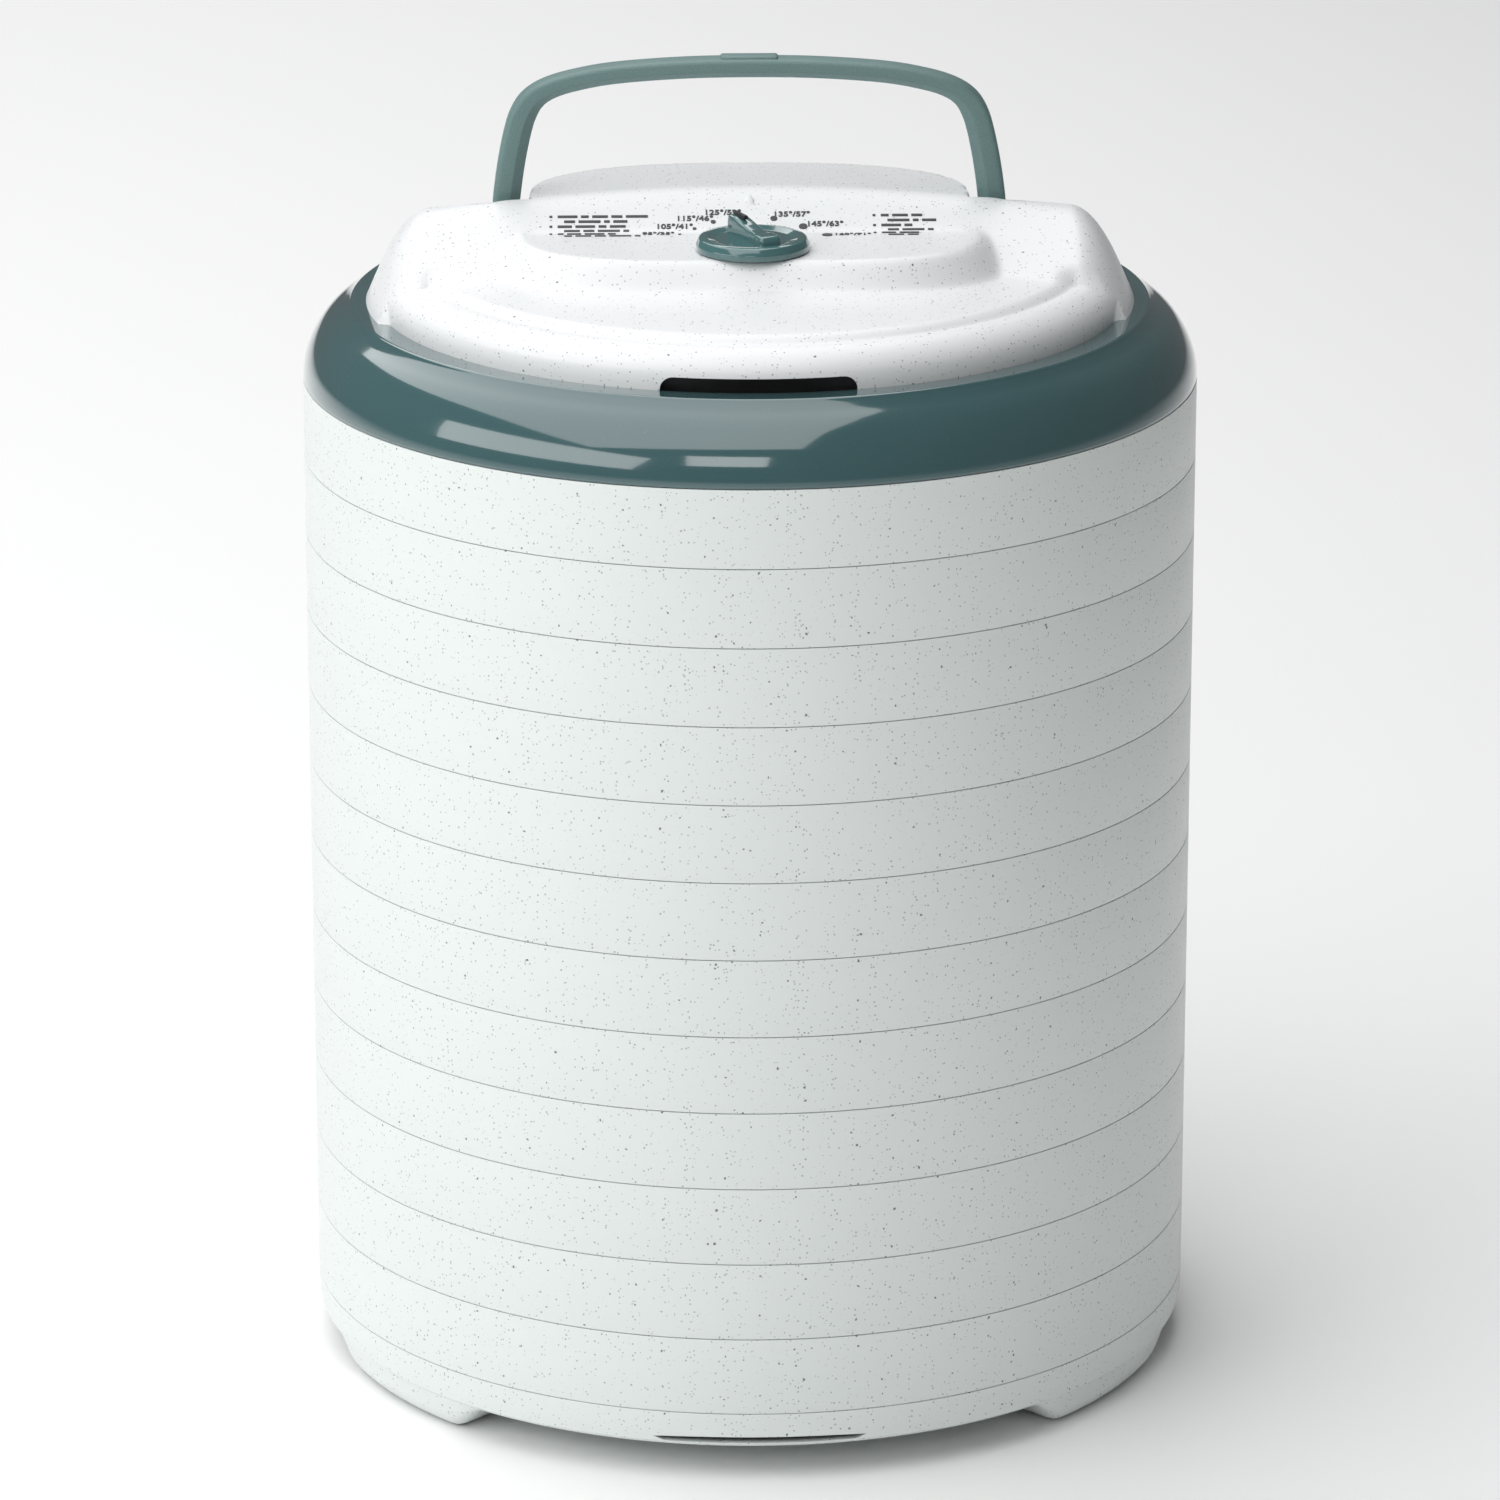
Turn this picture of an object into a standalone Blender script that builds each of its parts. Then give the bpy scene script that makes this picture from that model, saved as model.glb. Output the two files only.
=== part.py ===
"""Round stacking food dehydrator: a vented base pan, twelve nesting trays and a powered lid.

Metres, +Z up. The origin is on the floor under the centre of the stack, and -Y is the front.
"""

import math

import bmesh
import bpy
from mathutils import Vector

# Driving dimensions of the stack
tray_radius = 0.1715
tray_pitch = 0.0302
tray_count = 12
foot_height = 0.0125
base_top = 0.027
stack_top = base_top + tray_count * tray_pitch
gap = 0.0003
round_segments = 32

# Base pan: four long feet under the wall, 57 degrees either side of the front and the back
foot_turns = (-33.0, 33.0, 147.0, 213.0)
foot_inner = 0.148
foot_outer = 0.161
foot_half_angle = 12.0
foot_flare = 4.5
vent_width = 0.081
vent_low = 0.0153
vent_high = 0.0176

# Nesting lip under each tray and under the lid, and the air duct inside the wall
lip_depth = 0.003
lip_outer = tray_radius - 0.0024
lip_inner = tray_radius - 0.0036
duct_inner = 0.1505
floor_height = 0.006
floor_thickness = 0.0015
hub_radius = 0.038
slot_count = 12
slot_width = 0.007
rib_count = 4
guard_sectors = 8

# Lid, as heights above the top of the stack
lid_wall = 0.0025
ring_top = 0.029
apron_radius = 0.143
shoulder_radius = 0.148
ledge_outer = 0.1517
shoulder_front = -0.040
shoulder_back = 0.0085
crown_height = 0.0692
crown_sag = 0.4
terrace_height = 0.0495
crest_y = 0.007
front_slope = math.radians(22.9)
platform_half_width = 0.0865
platform_depth = 0.053
platform_power = 3.0
panel_height = 0.0585
panel_half_width = 0.088
panel_centre_y = -0.005
panel_depth = 0.065
intake_width = 0.0725
intake_height = 0.0048
cord_height = 0.012

# Handle: a bow that folds back about a line through its two pivots
pivot_y = 0.0145
pivot_height = 0.057
bow_half_width = 0.0933
bow_rise = 0.0583
bow_power = 3.7
bow_width = 0.0105
bow_thickness = 0.0073
tab_width = 0.022
tab_height = 0.0010
handle_depth = 0.0118
pin_radius = 0.0025

# Temperature dial, which points 24 degrees left of straight back
dial_y = -0.046
dial_radius = 0.0215
dial_turn = math.radians(24.0)
spindle_radius = 0.003

# Motor, fan and heater, all on the stack's axis
rotor_radius = 0.0126
shaft_radius = 0.0025
core_low = 0.036
core_high = 0.052
fan_radius = 0.088
heater_ring_radius = 0.062
lid_boss_radius = 0.122
motor_boss_x = 0.066


def empty_scene():
    for obj in list(bpy.data.objects):
        bpy.data.objects.remove(obj, do_unlink=True)


def new_collection(name):
    collection = bpy.data.collections.new(name)
    bpy.context.scene.collection.children.link(collection)
    return collection


empty_scene()
parts = new_collection("food_dehydrator")
tools = new_collection("cutters")
tools.hide_render = True


def material(name, colour, roughness, metallic=0.0):
    made = bpy.data.materials.new(name)
    made.use_nodes = True
    shader = made.node_tree.nodes["Principled BSDF"]
    shader.inputs["Base Color"].default_value = (*colour, 1.0)
    shader.inputs["Roughness"].default_value = roughness
    shader.inputs["Metallic"].default_value = metallic
    return made


def speckled_plastic():
    return material("speckled_plastic", (0.82, 0.83, 0.82), 0.38)


def grey_plastic():
    return material("grey_plastic", (0.20, 0.26, 0.26), 0.18)


def textured_grey_plastic():
    return material("textured_grey_plastic", (0.20, 0.26, 0.26), 0.55)


def black_plastic():
    return material("black_plastic", (0.02, 0.02, 0.02), 0.4)


def steel():
    return material("steel", (0.55, 0.55, 0.56), 0.3, 1.0)


def copper_winding():
    return material("copper_winding", (0.55, 0.22, 0.09), 0.35, 1.0)


def mica():
    return material("mica", (0.58, 0.49, 0.36), 0.6)


def wire_sleeve():
    return material("wire_sleeve", (0.75, 0.73, 0.68), 0.5)


def add_object(name, mesh, collection, look=None):
    obj = bpy.data.objects.new(name, mesh)
    collection.objects.link(obj)
    if collection == tools:
        obj.hide_render = True
        obj.display_type = "WIRE"
    if look:
        mesh.materials.clear()
        mesh.materials.append(look)
    return obj


def turned(name, profile, collection, segments=24, look=None, closed=True):
    """Turns a profile of (radius, height) points about Z. It runs down its outer side."""
    mesh = bpy.data.meshes.new(name)
    points = [(radius, 0.0, height) for radius, height in profile]
    edges = [(i, i + 1) for i in range(len(points) - 1)]
    if closed:
        edges.append((len(points) - 1, 0))
    mesh.from_pydata(points, edges, [])
    obj = add_object(name, mesh, collection, look)
    screw = obj.modifiers.new("turn", "SCREW")
    screw.axis = "Z"
    screw.steps = segments
    screw.render_steps = segments
    screw.use_merge_vertices = True
    screw.merge_threshold = 0.0001
    screw.use_smooth_shade = True
    return obj


def rod(name, radius, low, high, collection, look=None, segments=12, at=(0.0, 0.0)):
    """A solid upright cylinder from height low to height high."""
    mesh = bpy.data.meshes.new(name)
    shape = bmesh.new()
    bmesh.ops.create_cone(
        shape, cap_ends=True, segments=segments, radius1=radius, radius2=radius, depth=high - low
    )
    shape.to_mesh(mesh)
    shape.free()
    obj = add_object(name, mesh, collection, look)
    obj.location = (at[0], at[1], (low + high) / 2)
    return obj


def box(name, low, high, collection, look=None):
    mesh = bpy.data.meshes.new(name)
    shape = bmesh.new()
    bmesh.ops.create_cube(shape, size=1.0)
    size = Vector(high) - Vector(low)
    bmesh.ops.scale(shape, vec=size, verts=shape.verts)
    shape.to_mesh(mesh)
    shape.free()
    obj = add_object(name, mesh, collection, look)
    obj.location = (Vector(low) + Vector(high)) / 2
    return obj


def evaluated_mesh(obj):
    graph = bpy.context.evaluated_depsgraph_get()
    mesh = bpy.data.meshes.new_from_object(obj.evaluated_get(graph))
    shape = bmesh.new()
    shape.from_mesh(mesh)
    bmesh.ops.remove_doubles(shape, verts=shape.verts, dist=0.000001)
    bmesh.ops.recalc_face_normals(shape, faces=shape.faces)
    shape.to_mesh(mesh)
    shape.free()
    return mesh


def prism(name, outlines, low, high, collection, look=None):
    """Flat outlines in X and Y, extruded from height low to height high."""
    curve = bpy.data.curves.new(name, "CURVE")
    curve.dimensions = "2D"
    curve.fill_mode = "BOTH"
    curve.extrude = (high - low) / 2
    for outline in outlines:
        spline = curve.splines.new("POLY")
        spline.points.add(len(outline) - 1)
        for point, (x, y) in zip(spline.points, outline):
            point.co = (x, y, 0.0, 1.0)
        spline.use_cyclic_u = True
    source = bpy.data.objects.new(name + "_outline", curve)
    parts.objects.link(source)
    mesh = evaluated_mesh(source)
    bpy.data.objects.remove(source)
    bpy.data.curves.remove(curve)
    obj = add_object(name, mesh, collection, look)
    obj.location.z = (low + high) / 2
    return obj


def wire(name, points, radius, look):
    """A thin round lead along straight runs between its points."""
    curve = bpy.data.curves.new(name, "CURVE")
    curve.dimensions = "3D"
    curve.bevel_depth = radius
    curve.bevel_resolution = 2
    curve.use_fill_caps = True
    spline = curve.splines.new("POLY")
    spline.points.add(len(points) - 1)
    for point, place in zip(spline.points, points):
        point.co = (place[0], place[1], stack_top + place[2], 1.0)
    source = bpy.data.objects.new(name + "_path", curve)
    parts.objects.link(source)
    mesh = evaluated_mesh(source)
    bpy.data.objects.remove(source)
    bpy.data.curves.remove(curve)
    return add_object(name, mesh, parts, look)


def combine(target, other, operation):
    change = target.modifiers.new(other.name, "BOOLEAN")
    change.operation = operation
    change.solver = "EXACT"
    change.object = other


def join(target, *others):
    for other in others:
        combine(target, other, "UNION")


def cut(target, *others):
    for other in others:
        combine(target, other, "DIFFERENCE")


def superellipse(half_width, half_depth, power, start, end, steps, centre=(0.0, 0.0)):
    """Points of a rounded oblong from angle start to angle end, in degrees from +X."""
    points = []
    for step in range(steps + 1):
        angle = math.radians(start + (end - start) * step / steps)
        across, along = math.cos(angle), math.sin(angle)
        x = math.copysign(abs(across) ** (2 / power), across) * half_width
        y = math.copysign(abs(along) ** (2 / power), along) * half_depth
        points.append((centre[0] + x, centre[1] + y))
    return points


def polar(radius, degrees):
    angle = math.radians(degrees)
    return radius * math.cos(angle), radius * math.sin(angle)


def above_stack(profile):
    return [(radius, stack_top + height) for radius, height in profile]


def smooth(obj, degrees=35.0):
    obj.data.shade_smooth()
    obj.data.set_sharp_from_angle(angle=math.radians(degrees))


# ---- base pan -------------------------------------------------------------------------------


def foot_outline(inner, outer, half_angle, turn):
    """A curved oblong between two radii, as corners in plan."""
    steps = 6
    angles = [turn + half_angle * (2.0 * step / steps - 1.0) for step in range(steps + 1)]
    outline = [polar(outer, angle) for angle in angles]
    return outline + [polar(inner, angle) for angle in reversed(angles)]


def moulded_foot(index):
    """A long lug that follows the pan's wall and narrows downwards."""
    turn = foot_turns[index]
    flared = foot_outline(foot_inner - 0.005, foot_outer + 0.006, foot_half_angle + foot_flare, turn)
    flat = foot_outline(foot_inner, foot_outer, foot_half_angle, turn)
    count = len(flat)
    top = foot_height + 0.0012
    corners = [(x, y, 0.0) for x, y in flat] + [(x, y, top) for x, y in flared]
    faces = [tuple(reversed(range(count))), tuple(range(count, 2 * count))]
    for corner in range(count):
        after = (corner + 1) % count
        faces.append((corner, after, after + count, corner + count))
    mesh = bpy.data.meshes.new(f"foot_{index}")
    mesh.from_pydata(corners, [], faces)
    return add_object(f"foot_{index}", mesh, tools)


def base_pan(look):
    floor_low, floor_high = foot_height + 0.0004, foot_height + 0.0022
    pan = turned(
        "base_pan",
        [
            (0.0, floor_high),
            (tray_radius - 0.0032, floor_high),
            (tray_radius - 0.0018, base_top),
            (tray_radius, base_top),
            (tray_radius - 0.0003, foot_height + 0.004),
            (tray_radius - 0.0030, foot_height),
            (tray_radius - 0.0055, foot_height),
            (tray_radius - 0.0055, floor_low),
            (0.0, floor_low),
        ],
        parts,
        segments=round_segments,
        look=look,
        closed=False,
    )
    join(pan, *[moulded_foot(index) for index in range(4)])
    vent = box(
        "vent_slot",
        (-vent_width / 2, -tray_radius - 0.01, vent_low),
        (vent_width / 2, -tray_radius + 0.025, vent_high),
        tools,
    )
    cut(pan, vent)


# ---- trays ----------------------------------------------------------------------------------


def floor_slots():
    """Narrow radial slots between the floor's spokes."""
    outlines = []
    for index in range(slot_count):
        turn = math.radians(360.0 * (index + 0.5) / slot_count)
        along = Vector((math.cos(turn), math.sin(turn)))
        across = Vector((-along.y, along.x)) * slot_width / 2
        near, far = along * 0.050, along * 0.140
        outlines.append([near - across, far - across, far + across, near + across])
    return outlines


def tray_mesh(look):
    """One tray with its foot at height 0: stepped wall, air duct, slotted floor and hub hole."""
    wall = turned(
        "tray_wall",
        [
            (tray_radius, tray_pitch),
            (tray_radius, gap),
            (lip_outer, gap),
            (lip_outer, -lip_depth),
            (lip_inner, -lip_depth),
            (tray_radius - 0.0018, tray_pitch),
        ],
        tools,
        segments=round_segments,
        look=look,
    )
    floor_top = floor_height + floor_thickness
    pan = turned(
        "tray_floor",
        [
            (duct_inner, 0.020),
            (duct_inner, floor_height),
            (hub_radius, floor_height),
            (hub_radius, floor_top),
            (duct_inner - 0.0015, floor_top),
            (duct_inner - 0.0015, 0.020),
        ],
        tools,
        segments=20,
    )
    ribs = []
    for index in range(rib_count):
        rib = box(
            f"duct_rib_{index}",
            (duct_inner - 0.0010, -0.0010, floor_height + 0.0007),
            (tray_radius - 0.0015, 0.0010, 0.018),
            tools,
        )
        turn = math.radians(360.0 * index / rib_count)
        middle = (duct_inner + tray_radius - 0.0025) / 2
        rib.location.x = middle * math.cos(turn)
        rib.location.y = middle * math.sin(turn)
        rib.rotation_euler.z = turn
        ribs.append(rib)
    opening = prism("floor_opening", floor_slots(), 0.004, 0.010, tools)
    cut(pan, opening)
    join(wall, pan, *ribs)
    return evaluated_mesh(wall)


def tray_stack(look):
    """Trays are numbered from the top, as they are lifted off."""
    mesh = tray_mesh(look)
    for number in range(1, tray_count + 1):
        tray = add_object(f"tray_{number:02d}", mesh, parts)
        tray.location.z = stack_top - number * tray_pitch
    mesh.materials.clear()
    mesh.materials.append(look)
    smooth(tray)


# ---- lid ------------------------------------------------------------------------------------


def lid_ring(look):
    """A bullnose ring that stands on the top tray and carries the cover on its flat inner ledge."""
    ledge_edge = apron_radius + 0.0006
    ring = turned(
        "lid_ring",
        above_stack(
            [
                (ledge_edge, ring_top),
                (ledge_outer, ring_top),
                (0.1555, 0.0257),
                (0.1620, 0.0222),
                (0.1660, 0.0175),
                (0.1690, 0.0125),
                (0.1710, 0.0075),
                (tray_radius, gap),
                (lip_outer, gap),
                (lip_outer, -lip_depth),
                (lip_inner, -lip_depth),
                (lip_inner, 0.0065),
                (0.1640, 0.0150),
                (0.1590, 0.0202),
                (0.1530, 0.0235),
                (0.1500, ring_top - lid_wall),
                (ledge_edge, ring_top - lid_wall),
            ]
        ),
        parts,
        segments=round_segments,
        look=look,
    )
    hole = rod("cord_hole", 0.0057, -0.012, 0.012, tools)
    hole.location = (0.0, 0.168, stack_top + cord_height)
    hole.rotation_euler.x = math.radians(90)
    cut(ring, hole)


def crown(radius):
    """Height of the gently domed crown at this radius."""
    return crown_height - crown_sag * radius**2


def crown_solid(name, inset, bottom):
    profile = [(radius, crown(radius)) for radius in (0.0, 0.050, 0.090, 0.112)]
    profile += [(0.1225, 0.0615), (0.1310, 0.0570), (0.1370, 0.0503), (0.1415, 0.0418)]
    profile += [(shoulder_radius, ring_top)]
    lowered = [(max(radius - inset, 0.0), height - inset) for radius, height in profile[:-1]]
    lowered += [(shoulder_radius - inset, bottom), (0.0, bottom)]
    return turned(name, above_stack(lowered), tools, segments=round_segments, closed=False)


def terrace_solid(name, inset, bottom):
    """The low rear deck that the folded handle lies on, falling away to the rim."""
    profile = [(0.0, terrace_height), (0.098, terrace_height), (0.120, 0.0450)]
    profile += [(0.1370, 0.0392), (0.1455, 0.0335)]
    lowered = [(max(radius - inset, 0.0), height - inset) for radius, height in profile]
    lowered += [(shoulder_radius - inset, bottom), (0.0, bottom)]
    return turned(name, above_stack(lowered), tools, segments=round_segments, closed=False)


def apron_solid(name, inset, bottom):
    """The round front skirt, whose lower edge drops inside the ring's ledge."""
    profile = [(0.0, 0.0505), (0.080, 0.0495), (0.110, 0.0470), (0.124, 0.0446)]
    profile += [(0.133, 0.0408), (0.139, 0.0362), (0.1425, 0.0310)]
    lowered = [(max(radius - inset, 0.0), height - inset) for radius, height in profile]
    lowered += [(apron_radius - inset, bottom), (0.0, bottom)]
    return turned(name, above_stack(lowered), tools, segments=round_segments, closed=False)


def panel_solid(name, inset, bottom):
    """The raised control panel: an oblong pad with tapered sides, let into the front slope."""
    centre = (0.0, panel_centre_y)
    half_width = panel_half_width - inset
    outline = superellipse(half_width, panel_depth - inset, 3.2, 180, 360, 14, centre)
    outline += [(half_width, shoulder_back - 0.004), (-half_width, shoulder_back - 0.004)]
    pad = prism(name, [outline], stack_top + bottom, stack_top + panel_height - inset, tools)
    spread = 1.0 + 0.85 * (panel_height - bottom) / panel_half_width
    for vertex in pad.data.vertices:
        if vertex.co.z < 0:
            vertex.co.x *= spread
            if vertex.co.y < panel_centre_y:
                vertex.co.y *= spread
    return pad


def cover_solid(name, inset, rim_bottom, apron_bottom):
    """The cover's whole outer form, or with an inset its hollow."""
    front, back = shoulder_front + inset, shoulder_back - inset
    crown_form = crown_solid(name, inset, rim_bottom)
    plan = box(
        name + "_ridge",
        (-0.16, front, stack_top),
        (0.16, back, stack_top + 0.09),
        tools,
    )
    outline = superellipse(
        platform_half_width - inset,
        platform_depth - inset,
        platform_power,
        0,
        180,
        24,
        (0.0, crest_y),
    )
    outline += [(-platform_half_width + inset, 0.0), (platform_half_width - inset, 0.0)]
    platform = prism(name + "_platform", [outline], stack_top, stack_top + 0.09, tools)
    join(plan, platform)
    combine(crown_form, plan, "INTERSECT")
    slope = box(name + "_slope", (-0.2, -0.2, 0.0), (0.2, 0.05, 0.1), tools)
    slope.rotation_euler.x = front_slope
    middle = Vector((0.0, -0.075, 0.05))
    middle.rotate(slope.rotation_euler)
    crest = Vector((0.0, crest_y, stack_top + crown_height - inset / math.cos(front_slope)))
    slope.location = crest + middle
    cut(crown_form, slope)
    terrace = terrace_solid(name + "_terrace", inset, rim_bottom)
    cut(terrace, box(name + "_front", (-0.2, -0.2, stack_top), (0.2, front, stack_top + 0.1), tools))
    panel = panel_solid(name + "_panel", inset, 0.042 - inset)
    join(crown_form, terrace, apron_solid(name + "_apron", inset, apron_bottom), panel)
    return crown_form


def top_cover(look):
    cover = cover_solid("top_cover", 0.0, ring_top + gap, ring_top - 0.005)
    hollow = cover_solid("cover_hollow", lid_wall, ring_top - 0.009, ring_top - 0.009)
    cut(cover, hollow)
    for index in range(4):
        place = polar(lid_boss_radius, 45 + 90 * index)
        boss = rod(
            f"lid_boss_{index}", 0.0045, stack_top + 0.0053, stack_top + 0.0423, tools, at=place
        )
        bore = rod(f"lid_bore_{index}", 0.0020, stack_top, stack_top + 0.020, tools, at=place)
        join(cover, boss)
        cut(cover, bore)
    for side in (-1, 1):
        place = (side * motor_boss_x, 0.0)
        boss = rod(f"motor_boss_{side}", 0.0045, stack_top + 0.0302, stack_top + 0.0632, tools, at=place)
        bore = rod(f"motor_bore_{side}", 0.0020, stack_top + 0.02, stack_top + 0.042, tools, at=place)
        join(cover, boss)
        cut(cover, bore)
    intake = box(
        "intake_slot",
        (-intake_width / 2, -0.16, stack_top + ring_top + gap),
        (intake_width / 2, -0.130, stack_top + ring_top + gap + intake_height),
        tools,
    )
    dial_hole = rod(
        "dial_hole", 0.0044, stack_top + 0.05, stack_top + 0.065, tools, at=(0.0, dial_y)
    )
    pivots = rod("pivot_bores", pin_radius + gap, -0.09, 0.09, tools)
    pivots.location = (0.0, pivot_y, stack_top + pivot_height)
    pivots.rotation_euler.y = math.radians(90)
    cut(cover, intake, dial_hole, pivots)
    finish_part(cover, look)


def air_guard(look):
    """The pan under the fan and heater. Air goes up its middle and out over its rim."""
    guard = turned(
        "air_guard",
        above_stack(
            [
                (0.0, 0.0050),
                (0.1470, 0.0050),
                (0.1470, 0.0200),
                (0.1490, 0.0200),
                (0.1490, 0.0030),
                (0.0, 0.0030),
            ]
        ),
        parts,
        segments=32,
        look=look,
        closed=False,
    )
    sectors = []
    for index in range(guard_sectors):
        middle = 360.0 * (index + 0.5) / guard_sectors
        sector = [polar(0.020, middle + 11), polar(0.020, middle - 11)]
        sector += [polar(0.072, middle - 19), polar(0.072, middle + 19)]
        sectors.append(sector)
    openings = prism("guard_openings", sectors, stack_top, stack_top + 0.008, tools)
    cut(guard, openings)
    for index in range(4):
        place = polar(lid_boss_radius, 45 + 90 * index)
        hole = rod(f"guard_hole_{index}", 0.0020, stack_top, stack_top + 0.008, tools, at=place)
        cut(guard, hole)


def headed_screw(name, place, head_low, head_high, tip, look, head_radius=0.0031, shank_radius=0.0016):
    """A round-headed screw. Its tip can be above or below its head."""
    outer = [(head_radius, head_high), (head_radius, head_low)]
    if tip > head_high:
        profile = [(0.0, tip), (shank_radius, tip), (shank_radius, head_high)]
        profile += outer + [(0.0, head_low)]
    else:
        profile = [(0.0, head_high)] + outer
        profile += [(shank_radius, head_low), (shank_radius, tip), (0.0, tip)]
    screw = turned(name, above_stack(profile), parts, segments=10, look=look, closed=False)
    screw.location.x, screw.location.y = place


def lid_screws(look):
    for index in range(4):
        place = polar(lid_boss_radius, 45 + 90 * index)
        headed_screw(f"lid_screw_{index + 1}", place, 0.0010, 0.0027, 0.0180, look)


def cord_inlet(look):
    """A gland bush in the back of the ring, with a round hole for a supply cord."""
    gland = turned(
        "cord_inlet",
        [
            (0.0054, 0.0135),
            (0.0054, 0.0025),
            (0.0075, 0.0025),
            (0.0075, 0.0),
            (0.0033, 0.0),
            (0.0033, 0.0135),
        ],
        parts,
        segments=16,
        look=look,
    )
    gland.location = (0.0, 0.1570, stack_top + cord_height)
    gland.rotation_euler.x = math.radians(-90)


# ---- handle ---------------------------------------------------------------------------------


def handle(look):
    """The bow is wider across its legs than it is thick along its top."""
    wide, thick = bow_width / 2, bow_thickness / 2
    outer = superellipse(bow_half_width + wide, bow_rise + thick, bow_power, 0, 180, 26)
    inner = superellipse(bow_half_width - wide, bow_rise - thick, bow_power, 180, 0, 26)
    bow = prism("handle", [outer + inner], -handle_depth / 2, handle_depth / 2, parts, look)
    bow.location = (0.0, pivot_y, stack_top + pivot_height)
    bow.rotation_euler.x = math.radians(90)
    level = stack_top + pivot_height
    tab = box(
        "finger_tab",
        (-tab_width / 2, pivot_y - 0.0035, level + bow_rise),
        (tab_width / 2, pivot_y + 0.0035, level + bow_rise + thick + tab_height),
        tools,
    )
    join(bow, tab)
    for side in (-1, 1):
        foot = rod(f"handle_foot_{side}", handle_depth / 2, -wide, wide, tools, segments=20)
        foot.location = (side * bow_half_width, pivot_y, level)
        foot.rotation_euler.y = math.radians(90)
        join(bow, foot)
    bores = rod("handle_bores", pin_radius + gap, -0.11, 0.11, tools)
    bores.location = (0.0, pivot_y, level)
    bores.rotation_euler.y = math.radians(90)
    cut(bow, bores)


def handle_pivot(name, side, look):
    pin = turned(
        name,
        [
            (0.0, 0.0214),
            (0.0045, 0.0214),
            (0.0045, 0.0194),
            (pin_radius, 0.0194),
            (pin_radius, 0.0),
            (0.0, 0.0),
        ],
        parts,
        segments=16,
        look=look,
        closed=False,
    )
    pin.location = (side * 0.0800, pivot_y, stack_top + pivot_height)
    pin.rotation_euler.y = math.radians(90 * side)


# ---- temperature dial -----------------------------------------------------------------------


def dial_knob(look):
    dial_low = panel_height + 0.0004
    knob = turned(
        "dial_knob",
        above_stack(
            [
                (0.0, 0.0634),
                (0.0140, 0.0632),
                (0.0172, 0.0638),
                (dial_radius - 0.0018, 0.0640),
                (dial_radius - 0.0004, 0.0627),
                (dial_radius, dial_low + 0.0008),
                (dial_radius - 0.0008, dial_low),
                (0.0, dial_low),
            ]
        ),
        parts,
        segments=32,
        look=look,
        closed=False,
    )
    knob.location.y = dial_y
    grip = box("dial_grip", (-0.0035, -0.0165, 0.0615), (0.0035, 0.0165, 0.0693), tools)
    grip.location = (0.0, dial_y, stack_top + grip.location.z)
    grip.rotation_euler.z = dial_turn
    bevel = grip.modifiers.new("rounded", "BEVEL")
    bevel.width = 0.0012
    bevel.segments = 1
    bore = rod(
        "dial_bore",
        spindle_radius - 0.0005,
        stack_top + 0.05,
        stack_top + 0.0666,
        tools,
        at=(0.0, dial_y),
    )
    join(knob, grip)
    cut(knob, bore)


def dial_pointer(look):
    low = stack_top + 0.0696
    pointer = box("dial_pointer", (-0.0009, 0.0060, low), (0.0009, 0.0158, low + 0.0012), parts, look)
    place = Vector((0.0, 0.0109, 0.0))
    pointer.rotation_euler.z = dial_turn
    place.rotate(pointer.rotation_euler)
    pointer.location = (place.x, dial_y + place.y, low + 0.0006)


def thermostat(body_look, spindle_look):
    body = turned(
        "thermostat_body",
        above_stack(
            [
                (0.0, 0.0440),
                (spindle_radius, 0.0440),
                (spindle_radius, 0.0582),
                (0.0041, 0.0582),
                (0.0041, 0.0500),
                (0.0110, 0.0500),
                (0.0110, 0.0400),
                (0.0, 0.0400),
            ]
        ),
        parts,
        segments=20,
        look=body_look,
        closed=False,
    )
    body.location.y = dial_y
    rod(
        "dial_spindle",
        spindle_radius - 0.0008,
        stack_top + 0.0443,
        stack_top + 0.0662,
        parts,
        spindle_look,
        at=(0.0, dial_y),
    )


# ---- motor, fan and heater ------------------------------------------------------------------


def circle_outline(radius, steps, centre=(0.0, 0.0)):
    outline = []
    for step in range(steps):
        x, y = polar(radius, 360.0 * step / steps)
        outline.append((centre[0] + x, centre[1] + y))
    return outline


def rectangle_outline(low, high):
    return [(low[0], low[1]), (high[0], low[1]), (high[0], high[1]), (low[0], high[1])]


def motor_core(look):
    """The laminated stator: a round bore for the rotor, and a window that the coil passes through."""
    outlines = [
        rectangle_outline((-0.027, -0.024), (0.027, 0.050)),
        circle_outline(rotor_radius + 0.0007, 20),
        rectangle_outline((-0.017, 0.018), (0.017, 0.0385)),
        circle_outline(0.0020, 8, (-0.023, 0.0)),
        circle_outline(0.0020, 8, (0.023, 0.0)),
    ]
    prism("motor_core", outlines, stack_top + core_low, stack_top + core_high, parts, look)


def motor_coil(look):
    coil = box(
        "motor_coil",
        (-0.014, 0.0330, stack_top + core_low - 0.0054),
        (0.014, 0.0550, stack_top + core_high + 0.0054),
        parts,
        look,
    )
    window = box(
        "coil_window",
        (-0.02, 0.0382, stack_top + core_low - gap),
        (0.02, 0.0503, stack_top + core_high + gap),
        tools,
    )
    cut(coil, window)


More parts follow.
